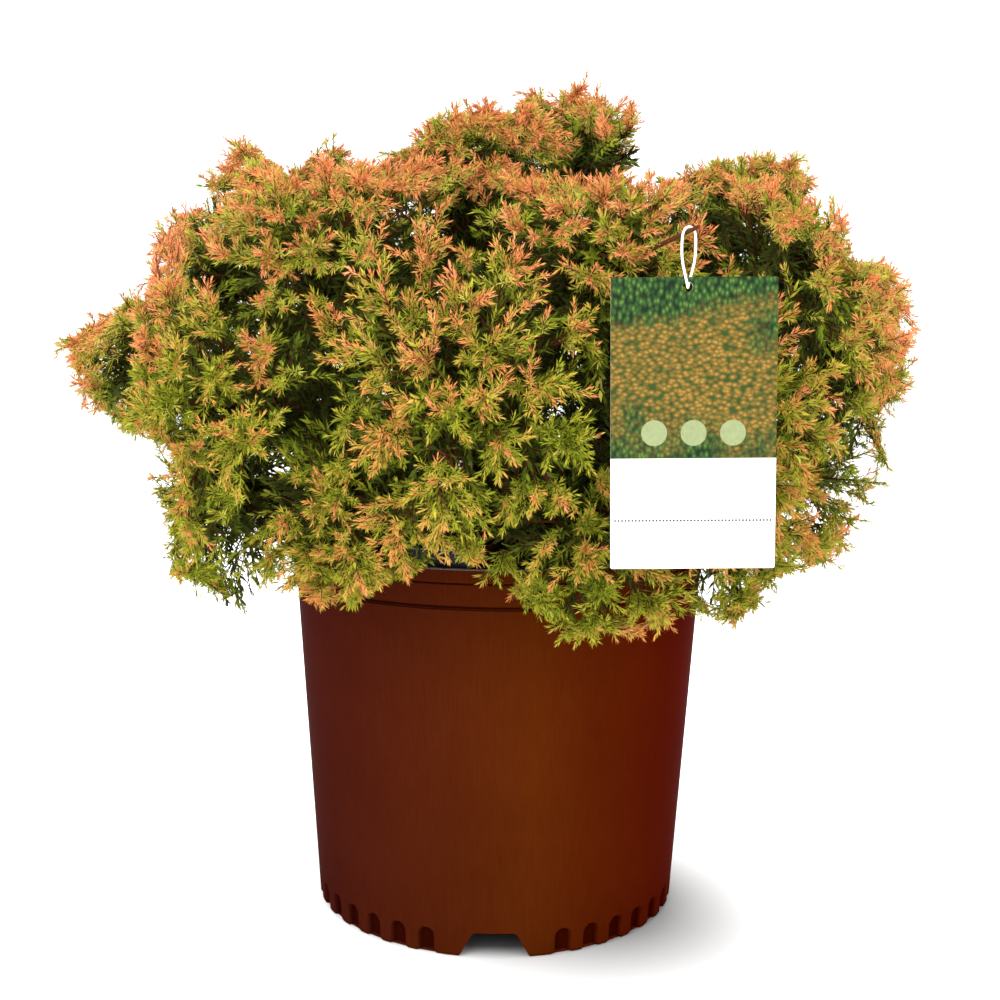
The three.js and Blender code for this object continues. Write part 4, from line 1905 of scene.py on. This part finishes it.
@dataclass(frozen=True)
class TipField:
    """Tips spread evenly over the crown's outline, each dealt to the mass whose space ends there."""

    count: int = 8800
    jitter: float = 0.02
    widest: float = 75.0
    slack: float = 12 * MM
    hem_slack: float = 14 * MM
    loosest: float = 0.55
    least_radius: float = 108 * MM
    least_height: float = 235 * MM

    def deal(self, masses: list[Mass], roundness: float) -> list[Array]:
        """Finds the outermost place in every direction from the crown's middle.

        Args:
            masses: The masses.
            roundness: How fast a mass's outline draws in beside its tip.

        Returns:
            The tips of each mass.
        """
        random = np.random.default_rng(7)
        middle = np.array(CROWN_MIDDLE)
        ways = unit(even_ways(self.count) + random.normal(0, self.jitter, (self.count, 3)))
        reaches = []
        for mass in masses:
            spoke = mass.tip - middle
            reach = np.linalg.norm(spoke)
            off = np.arccos(np.clip(ways @ (spoke / reach), -1, 1))
            slack = self.hem_slack if mass.tier.name == "low" else self.slack
            near, far = mass.span_inside(middle, ways, slack)
            far = np.minimum(far, reach * (1 - roundness * off**2))
            reaches.append(np.where((far > near) & (off < math.radians(self.widest)), far, 0))
        reaches = np.array(reaches)
        owner = reaches.argmax(0)
        ends = middle + ways * reaches.max(0)[:, None]
        wide = np.hypot(ends[:, 0], ends[:, 1]) > self.least_radius
        keep = (reaches.max(0) > 0) & (wide | (ends[:, 2] > self.least_height))
        keep &= random.random(self.count) > self.loosest * looseness(ends)
        return [ends[keep & (owner == k)] for k in range(len(masses))]


@dataclass
class Foliage:
    """Grows one mass's plumes from its heart, and gathers their twigs and needles."""

    mass: Mass
    plumes: Plumes
    tag: Tag
    pot: Pot
    silhouette: Silhouette
    tips: Array
    seed: int
    needles: Bundle = field(default_factory=Bundle)

    def __post_init__(self) -> None:
        """Starts the mass's own random draws."""
        self.random = np.random.default_rng(self.seed)

    def grow(self, twigs: Bundle) -> None:
        """Grows the mass.

        Args:
            twigs: Where its twigs go.
        """
        plumes, random = self.plumes, self.random
        stem = Curves(self.mass.stem_start[None], self.mass.stem_start[None], self.mass.heart[None])
        twigs.tubes(stem, plumes.stem_twig)
        leaders, inset, depth = self.leaders()
        count = len(leaders.start)
        twigs.tubes(leaders, plumes.leader_twig)
        age = np.minimum(depth, plumes.shade_depth) + 8 * MM
        old = Stems(leaders, random.normal(0, 0.6, count), age, np.zeros(count))
        self.set_needles(old, plumes.leader_needles)
        self.dress(self.side_shoots(leaders, depth), plumes.side_needles, 1, twigs)
        self.dress(self.tip_shoots(leaders, inset), plumes.shoot_needles, plumes.shootlets, twigs)
        self.grow_shade(leaders, twigs)

    def dress(self, shoots: Stems, rows: Whorls, shootlets: int, twigs: Bundle) -> None:
        """Grows shootlets and needles on shoots.

        Args:
            shoots: The shoots.
            rows: The whorls of needles that each has.
            shootlets: How many shootlets each has.
            twigs: Where the twigs go.
        """
        twigs.tubes(shoots.curves, self.plumes.shoot_twig)
        self.set_needles(shoots, rows)
        small = self.shootlets(shoots, shootlets)
        twigs.spikes(small.curves.start, small.curves.end, self.plumes.shootlet_radius)
        self.set_needles(small, self.plumes.shootlet_needles)

    def leaders(self) -> tuple[Curves, Array, Array]:
        """The leaders, from the bough and the stem outwards to every side of the mass's space.

        Returns:
            The leaders, how far inside the outline each was meant to end, and how deep it does end.
        """
        mass, plumes, random = self.mass, self.plumes, self.random
        out, level, upright = mass.outward, mass.level, mass.upright
        backward = plumes.backward + 0.55 * max(0.0, out[2])
        count = round(plumes.leaders * (1 + backward))
        order = np.arange(count) + 0.5
        forward = 1 - (1 + backward) * (order / count) ** 1.25
        turn = order * GOLDEN_TURN + random.uniform(-0.25, 0.25, count)
        flat = np.sqrt(1 - forward**2)
        direction = out * forward[:, None] + level * (flat * np.cos(turn))[:, None]
        direction = direction + upright * (flat * np.sin(turn))[:, None]
        direction = unit(direction + UP * (plumes.upturn * random.random(count))[:, None])
        heart = np.broadcast_to(mass.heart, direction.shape)
        longest = plumes.leader_length * random.uniform(0.85, 1.15, count)
        ray = direction * longest[:, None]
        ray[0] = mass.tip - mass.heart
        inset = plumes.leader_inset * random.uniform(0.1, 1.6, count) ** 2
        inset[0] = 2 * MM
        walls = mass.share_inside(heart, ray)
        walls[0] = 1.0
        outline = self.outer_share(heart, ray, inset)
        end = mass.heart + ray * np.minimum(walls, outline)[:, None]
        inner = np.clip(mass.depth(end, plumes.roundness), 0, 60 * MM)
        depth = np.where(walls < outline, np.maximum(inner, inset), inset)
        back = plumes.leader_setback * np.clip(1 - forward, 0, 1.2) * random.uniform(0.2, 1.2, count)
        start = mass.heart - out * back[:, None]
        bend = start + out * (back * 0.7 + 6 * MM)[:, None] + (end - start) * 0.25
        keep = (np.linalg.norm(end - start, axis=1) > plumes.leader_shortest) & ~self.tag.hides(end)
        keep &= self.clear_of_pot(end) & self.clear_of_pot(bend)
        return Curves(start, bend, end).chosen(keep), inset[keep], depth[keep]

    def outer_share(self, start: Array, ray: Array, inset: Array) -> Array:
        """How much of each ray stays inside the crown's outline, seen from the front and in the round.

        Args:
            start: Where the rays start.
            ray: The rays.
            inset: How far inside the outline each ray ends.

        Returns:
            A share for each ray.
        """
        shares = np.linspace(0.06, 1, 32)
        places = start[:, None] + ray[:, None] * shares[None, :, None]
        rounded = self.mass.depth(places, self.plumes.roundness) >= inset[:, None] - 4 * MM
        inside = self.silhouette.contains(places, inset[:, None] + self.plumes.fringe) & rounded
        return np.where(np.logical_and.accumulate(inside, axis=1), shares, 0).max(1)

    def sunshine(self, points: Array) -> Array:
        """How much sun each place in the crown gets, from 0 to 1.

        Args:
            points: The places.

        Returns:
            A share for each.
        """
        height = np.clip((points[..., 2] - SUN_FOOT) / SUN_RISE, -0.2, 1)
        beside = np.clip((np.abs(points[..., 0]) - SUN_BESIDE) / SUN_FADE, 0, 1)
        return np.clip(height + SUN_AT_SIDES * beside, 0, 1)

    def side_shoots(self, leaders: Curves, depth: Array) -> Stems:
        """The shoots along both sides of the leaders, and one that carries each leader on.

        Args:
            leaders: The leaders.
            depth: How far inside the outline each one ends.

        Returns:
            The shoots that stay in the mass's space.
        """
        plumes, random = self.plumes, self.random
        count = len(leaders.start)
        shape = (count, plumes.side_shoots)
        places = np.linspace(0.35, 0.9, plumes.side_shoots)[None] + random.uniform(-0.07, 0.07, shape)
        along = leaders.along(places)
        pole = random.normal(size=(count, 1, 3))
        roll = random.normal(0, 0.6, shape) + np.arange(plumes.side_shoots) * 2.2
        fan = fanned(along, pole, roll)
        angle = np.radians(60 - 18 * places + random.uniform(-9, 9, shape))
        ahead = unit(along * np.cos(angle)[..., None] + fan * np.sin(angle)[..., None] + UP * 0.1)
        length = plumes.side_length * (1.3 - 0.6 * places) * random.uniform(0.7, 1.2, shape)
        start = leaders.at(places).reshape(-1, 3)
        ray = (ahead * length[..., None]).reshape(-1, 3)
        outline = self.outer_share(start, ray, np.zeros(len(ray)))
        inside = np.minimum(self.mass.share_inside(start, ray, 5 * MM), outline)
        ray *= inside[:, None]
        bow = (fan * (0.05 * length)[..., None]).reshape(-1, 3)
        curves = Curves(start, start + ray * 0.5 + bow, start + ray)
        run = leaders.lengths()[:, None]
        age = (0.5 * depth[:, None] + (1 - places) * run * 0.5 + 3 * MM).ravel()
        tone = np.repeat(random.normal(0, 0.5, count), plumes.side_shoots) + random.normal(0, 0.5, len(age))
        stems = Stems(curves, tone, age, self.sunshine(curves.end))
        keep = (inside > 0.3) & ~self.tag.hides(curves.end) & self.clear_of_pot(curves.end)
        return stems.chosen(keep)

    def tip_shoots(self, leaders: Curves, leader_inset: Array) -> Stems:
        """The shoots from the leaders to this mass's share of the crown's tips.

        Args:
            leaders: The leaders.
            leader_inset: How far inside the outline each of them was meant to end.

        Returns:
            The shoots, without those that would cross the tag or the pot.
        """
        plumes, random, mass = self.plumes, self.random, self.mass
        end = self.tips
        leader, place = self.nearest_leader(leaders, end)
        carrier = leaders.chosen(leader)
        aside = np.linalg.norm(end - carrier.end, axis=1)
        inset = plumes.tip_inset * random.random(len(end)) ** 1.7
        far = np.clip(aside - plumes.aside_free, 0, plumes.aside_limit)
        inset += 0.55 * leader_inset[leader] + plumes.aside_inset * far
        ray = end - mass.heart
        heart = np.broadcast_to(mass.heart, end.shape)
        end = mass.heart + ray * self.outer_share(heart, ray, inset)[:, None]
        start = carrier.at(place[:, None])[:, 0]
        along = carrier.along(place[:, None])[:, 0]
        run = np.linalg.norm(end - start, axis=1)
        bend = start + (along * 0.45 - UP * 0.06 + random.normal(0, 0.05, along.shape)) * run[:, None]
        tone = random.normal(0, 0.5, len(leaders.start))[leader] + random.normal(0, 0.5, len(end))
        stems = Stems(Curves(start, bend, end), tone, plumes.ageing * inset, self.sunshine(end))
        keep = (run > plumes.shoot_shortest) & (run < plumes.shoot_limit) & ~self.tag.hides(end)
        return stems.chosen(keep & self.clear_of_pot(end) & self.clear_of_pot(bend))

    def nearest_leader(self, leaders: Curves, tips: Array) -> tuple[Array, Array]:
        """The leader that can best carry a shoot to each tip, and the place where the shoot leaves it.

        Args:
            leaders: The leaders.
            tips: The tips.

        Returns:
            Each tip's leader by its number, and a place on it from 0 to 1.
        """
        axis = unit(leaders.end - leaders.start)
        span = np.linalg.norm(leaders.end - leaders.start, axis=1)
        offset = tips[:, None] - leaders.start[None]
        ahead = (offset * axis).sum(-1)
        aside = np.linalg.norm(offset - ahead[..., None] * axis, axis=-1)
        place = np.clip((ahead - self.plumes.shoot_slope * aside) / span, 0.25, 0.9)
        leader = np.argmin(np.hypot(aside, ahead - place * span), axis=1)
        return leader, place[np.arange(len(tips)), leader]

    def shootlets(self, shoots: Stems, number: int) -> Stems:
        """The short side shoots towards the tips of the shoots.

        Args:
            shoots: The shoots.
            number: How many of them a shoot has.

        Returns:
            The shootlets that stay off the tag and the pot.
        """
        plumes, random = self.plumes, self.random
        count = len(shoots.tone)
        shape = (count, number)
        run = shoots.curves.lengths()[:, None]
        down = (3 + 3.9 * np.arange(number))[None] * MM * random.uniform(0.85, 1.15, shape)
        places = 1 - down / run
        along = shoots.curves.along(places)
        pole = random.normal(size=(count, 1, 3))
        roll = random.normal(0, 0.5, shape) + np.arange(number) * math.pi * 0.82
        fan = fanned(along, pole, roll)
        angle = np.radians(random.uniform(34, 50, shape))
        ahead = unit(along * np.cos(angle)[..., None] + fan * np.sin(angle)[..., None])
        size = 0.62 + 0.12 * np.arange(number)[None]
        length = plumes.shootlet_length * size * random.uniform(0.75, 1.25, shape)
        start = shoots.curves.at(places).reshape(-1, 3)
        ray = (ahead * length[..., None]).reshape(-1, 3)
        curves = Curves(start, start + ray * 0.5, start + ray)
        age = (shoots.age[:, None] + 0.55 * down).ravel()
        tone = np.repeat(shoots.tone, number) + random.normal(0, 0.4, len(age))
        stems = Stems(curves, tone, age, np.repeat(shoots.sun, number))
        keep = (places.ravel() > 0.12) & ~self.tag.hides(curves.end) & self.clear_of_pot(curves.end)
        return stems.chosen(keep)

    def grow_shade(self, leaders: Curves, twigs: Bundle) -> None:
        """Grows the older shoots inside the crown, from the bough and the leaders to every side.

        Args:
            leaders: The leaders.
            twigs: Where the shoots' twigs go.
        """
        mass, plumes, random = self.mass, self.plumes, self.random
        count = plumes.shade_shoots * 4
        carriers = leaders.chosen(random.integers(0, len(leaders.start), count))
        on_leader = carriers.at(random.uniform(0.1, 0.8, (count, 1)))[:, 0]
        on_bough = mass.bough.at(random.uniform(0.05, 1.0, (1, count)))[0]
        start = np.where(random.random((count, 1)) < plumes.shade_on_leaders, on_leader, on_bough)
        ways = unit(random.normal(size=(count, 3)))
        ray = ways * random.uniform(0.35, 1.0, (count, 1)) * plumes.shade_length
        ray *= mass.share_inside(start, ray, 8 * MM)[:, None]
        end = start + ray
        depth = mass.depth(end, plumes.roundness)
        keep = (np.linalg.norm(ray, axis=1) > plumes.shade_shortest) & (depth > plumes.shade_depth)
        keep &= self.silhouette.contains(end, plumes.shade_depth) & self.clear_of_pot(end)
        keep &= ~self.tag.hides(end) & (random.random(count) > 0.8 * looseness(end))
        keep &= np.cumsum(keep) <= plumes.shade_shoots
        curves = Curves(start, (start + end) / 2 + UP * 4 * MM, end)
        keep &= self.clear_of_pot(curves.bend)
        curves = curves.chosen(keep)
        size = len(curves.start)
        twigs.tubes(curves, plumes.shade_twig)
        stems = Stems(curves, random.normal(0, 0.7, size), depth[keep] + 3 * MM, np.zeros(size))
        self.set_needles(stems, plumes.shade_needles)

    def clear_of_pot(self, points: Array) -> Array:
        """Which points are outside the pot's wall and rim.

        Args:
            points: The points.

        Returns:
            True for each that is.
        """
        radius = np.hypot(points[..., 0], points[..., 1])
        low = points[..., 2] < self.pot.height + 2 * MM
        return ~(low & (radius < self.pot.rim_radius + 2.5 * MM))

    def set_needles(self, stems: Stems, rows: Whorls) -> None:
        """Sets whorls of needles on stems, from their tips inwards.

        Args:
            stems: The stems.
            rows: How the needles stand on them.
        """
        random = self.random
        count = len(stems.tone)
        shape = (count, rows.rows, self.plumes.needles_round)
        row = np.broadcast_to(np.arange(rows.rows)[None, :, None], shape)
        down = (row + 0.1 + random.uniform(0, 0.8, shape)) * rows.spacing
        down = down.reshape(count, -1)
        share = 1 - down / stems.curves.lengths()[:, None]
        young = 1 - row / rows.rows
        axis = stems.curves.along(share)
        root = stems.curves.at(share)
        pole = random.normal(size=(count, 1, 3))
        turn = np.arange(self.plumes.needles_round) * 2 * math.pi / self.plumes.needles_round
        turn = turn[None, None] + row * 1.05
        turn = (turn + random.uniform(-0.3, 0.3, shape)).reshape(count, -1)
        radial = fanned(axis, pole, turn)
        angle = np.radians(rows.opening + (rows.closing - rows.opening) * young**1.8)
        angle = (angle + random.normal(0, 0.13, shape)).reshape(count, -1)
        out = unit(axis * np.cos(angle)[..., None] + radial * np.sin(angle)[..., None])
        length = rows.length * (1.05 - 0.3 * young**3) * random.uniform(0.8, 1.12, shape)
        tints = self.tints(stems, stems.age[:, None] + down)
        keep = share.ravel() > 0.06
        self.add_needles(
            root.reshape(-1, 3)[keep],
            out.reshape(-1, 3)[keep],
            axis.reshape(-1, 3)[keep],
            length.ravel()[keep],
            rows.half_width,
            tints.ravel()[keep],
        )

    def tints(self, stems: Stems, way: Array) -> Array:
        """Deals out the tints: warm at young tips, then yellow, green and dark further in.

        Args:
            stems: The stems.
            way: How far each needle is from its plume's young end.

        Returns:
            Each needle's number in the list of all tints.
        """
        random = self.random
        sun = stems.sun[:, None]
        aged = way * (1 + 0.2 * stems.tone[:, None]) + random.normal(0, 1.3 * MM, way.shape)
        aged = aged + (stems.tone[:, None] - 0.2) * 2.2 * MM
        warm = (stems.sun + 0.25 * random.normal(size=len(stems.sun)) > 0.37)[:, None]
        order = list(Tint)
        sunlit, sheltered = (
            np.array([order.index(tint) for tint, _ in scale])[
                np.searchsorted([limit for _, limit in scale[:-1]], aged / (1 + 0.3 * sun))
            ]
            for scale in (SUNLIT, SHELTERED)
        )
        return np.where(warm, sunlit, sheltered)

    def add_needles(
        self,
        root: Array,
        out: Array,
        axis: Array,
        length: Array,
        half_width: float,
        tints: Array,
    ) -> None:
        """Adds needles as narrow kites folded along their midrib.

        Args:
            root: Where each needle starts.
            out: Its direction.
            axis: The direction of the stem that carries it.
            length: Its length.
            half_width: Half its width.
            tints: Its tint's number.
        """
        tip = root + out * length[:, None]
        keep = ~self.tag.hides(tip) & self.clear_of_pot(tip)
        root, out, axis, length, tints, tip = (
            rows[keep] for rows in (root, out, axis, length, tints, tip)
        )
        side = unit(np.cross(out, axis))
        face = np.cross(side, out)
        widest = root + out * (0.4 * length)[:, None] + face * half_width * 0.5
        tip = tip + face * (0.1 * length)[:, None]
        points = np.stack([root, tip, widest + side * half_width, widest - side * half_width], 1)
        first = np.arange(len(root))[:, None] * 4
        halves = [first + np.array([[0, 1, 2]]), first + np.array([[0, 3, 1]])]
        corners = np.concatenate(halves, 1).reshape(-1, 3)
        self.needles.add(points, corners, np.repeat(tints, 2))


@dataclass
class Crown:
    """All the foliage: a piece of needles for each mass and a piece of twigs for each tier."""

    masses: list[Mass]
    tag: Tag
    pot: Pot
    plumes: Plumes = field(default_factory=Plumes)

    def build(self) -> None:
        """Makes every piece of foliage."""
        finishes = [NeedleFinish(tint).material() for tint in Tint]
        twig = TwigFinish().material()
        total = 0
        tips = TipField().deal(self.masses, self.plumes.roundness)
        for tier in TIERS:
            twigs = Bundle()
            mine = [mass for mass in self.masses if mass.tier is tier]
            for mass in mine:
                number = self.masses.index(mass)
                ends = tips[number]
                foliage = Foliage(
                    mass, self.plumes, self.tag, self.pot, Silhouette(), ends, 101 + number
                )
                foliage.grow(twigs)
                if mass.name == "upper_3":
                    self.add_hook(foliage, twigs)
                mesh = foliage.needles.mesh(f"needles_{mass.name}")
                add_piece(mesh.name, mesh, finishes, f"foliage_{tier.name}", [f"foliage_{mass.name}"])
                total += len(mesh.polygons)
            mesh = twigs.mesh(f"twigs_{tier.name}")
            nodes = [f"foliage_{mass.name}" for mass in mine]
            add_piece(mesh.name, mesh, [twig], f"foliage_{tier.name}", nodes)
            total += len(mesh.polygons)
        LOG.info("foliage: %d faces in all", total)

    def add_hook(self, foliage: Foliage, twigs: Bundle) -> None:
        """Adds the twig that the tag's loop hangs on, dressed like a leader up to the loop.

        Args:
            foliage: The foliage of the mass that it grows from.
            twigs: Where the twig goes.
        """
        hook = self.tag.hook
        heart = foliage.mass.heart
        tip = hook + unit(hook - heart) * 7 * MM
        curve = Curves(heart[None], (heart[None] + tip[None]) / 2, tip[None])
        twigs.tubes(curve, self.plumes.hook_twig)
        dressed = Curves(heart[None], (heart[None] + hook[None]) / 2, (heart * 0.2 + hook * 0.8)[None])
        shoots = foliage.side_shoots(dressed, np.zeros(1))
        foliage.dress(shoots, self.plumes.shoot_needles, self.plumes.shootlets, twigs)
        bare = Stems(dressed, np.zeros(1), np.full(1, 6 * MM), np.full(1, 0.5))
        foliage.set_needles(bare, self.plumes.hook_needles)


# Studio


@dataclass
class Studio:
    """A pale floor with painted shadow beside and under the pot's foot, soft lamps and the camera at the
    photograph's place.
    """

    camera_place: Triple = (0.0, -0.765, 0.311)
    pitch: float = 5.8
    roll: float = 0.6
    focal_pixels: float = 1300.0
    frame_pixels: float = 1000.0
    middle_pixel: float = 499.0
    sensor: float = 36.0
    floor_half: float = 8.0
    sky_strength: float = 1.65

    def build(self) -> None:
        """Sets up everything round the plant."""
        self.add_camera()
        self.add_floor()
        self.add_sky()
        self.add_lamp("key", (-0.9, -1.8, 1.5), 1.5, 37)
        self.add_lamp("fill", (1.4, -1.4, 0.7), 1.6, 12)
        self.add_lamp("back", (0.3, 1.3, 2.1), 1.4, 36)
        bpy.context.scene.view_settings.view_transform = "Standard"

    def add_camera(self) -> None:
        """Puts the camera where the photograph was taken from."""
        lens = bpy.data.cameras.new("photo_camera")
        lens.sensor_width = self.sensor
        lens.lens = self.sensor * self.focal_pixels / self.frame_pixels
        lens.shift_x = (self.frame_pixels / 2 - self.middle_pixel) / self.frame_pixels
        camera = placed("photo_camera", lens)
        tilt = Matrix.Rotation(math.radians(90 - self.pitch), 4, "X")
        roll = Matrix.Rotation(math.radians(self.roll), 4, "Z")
        camera.matrix_world = Matrix.Translation(self.camera_place) @ tilt @ roll
        bpy.context.scene.camera = camera

    def add_floor(self) -> None:
        """Lays the floor, with a painted shadow to the right of and in front of the pot's foot and a darker
        painted disc under the pot.
        """
        shape = bmesh.new()
        bmesh.ops.create_grid(shape, x_segments=1, y_segments=1, size=self.floor_half)
        floor = placed("floor", mesh_from_bmesh("floor", shape))
        shader = Shader("floor_painted_shadow", 0.9, 0.02)
        # Painted shadow: the floor darkens towards a point right of and in front of the pot, and darker
        # still under the pot's foot
        beside = shader.span(shader.distance(shader.places(offset=(-0.066, 0.045, 0))), 0.03, 0.115)
        under = shader.span(shader.distance(shader.places()), 0.09, 0.106)
        shade = shader.ramp(beside, [(0.0, "989898"), (1.0, "ffffff")])
        foot = shader.ramp(under, [(0.0, "808080"), (1.0, "ffffff")])
        shader.colour(shader.mixed(1.0, shade, foot, "MULTIPLY"))
        floor.data.materials.append(shader.material)

    def add_sky(self) -> None:
        """Lights the room evenly with white."""
        world = bpy.data.worlds.new("white_room")
        world.use_nodes = True
        background = world.node_tree.nodes["Background"]
        background.inputs["Color"].default_value = (1.0, 1.0, 1.0, 1.0)
        background.inputs["Strength"].default_value = self.sky_strength
        bpy.context.scene.world = world

    def add_lamp(self, name: str, place: Triple, size: float, power: float) -> None:
        """Adds one square soft lamp that faces the crown.

        Args:
            name: Its name.
            place: Where it hangs.
            size: How wide it is.
            power: Its power in watts.
        """
        light = bpy.data.lights.new(name, "AREA")
        light.size = size
        light.energy = power
        lamp = placed(name, light)
        lamp.location = place
        aim = Vector((0, 0, 0.25)) - Vector(place)
        lamp.rotation_euler = aim.to_track_quat("-Z", "Y").to_euler()


def main() -> None:
    """Builds the plant from the pot up, then the studio."""
    logging.basicConfig(level=logging.INFO, format="%(message)s")
    pot = Pot()
    pot.build()
    PottingMix(pot).build()
    RimLabel().build()
    trunk = Trunk()
    plan = CrownPlan(trunk, pot)
    masses = plan.masses()
    Framework(trunk, plan, masses).build()
    tag = Tag()
    tag.build()
    Crown(masses, tag, pot).build()
    Studio().build()


if __name__ == "__main__":
    main()
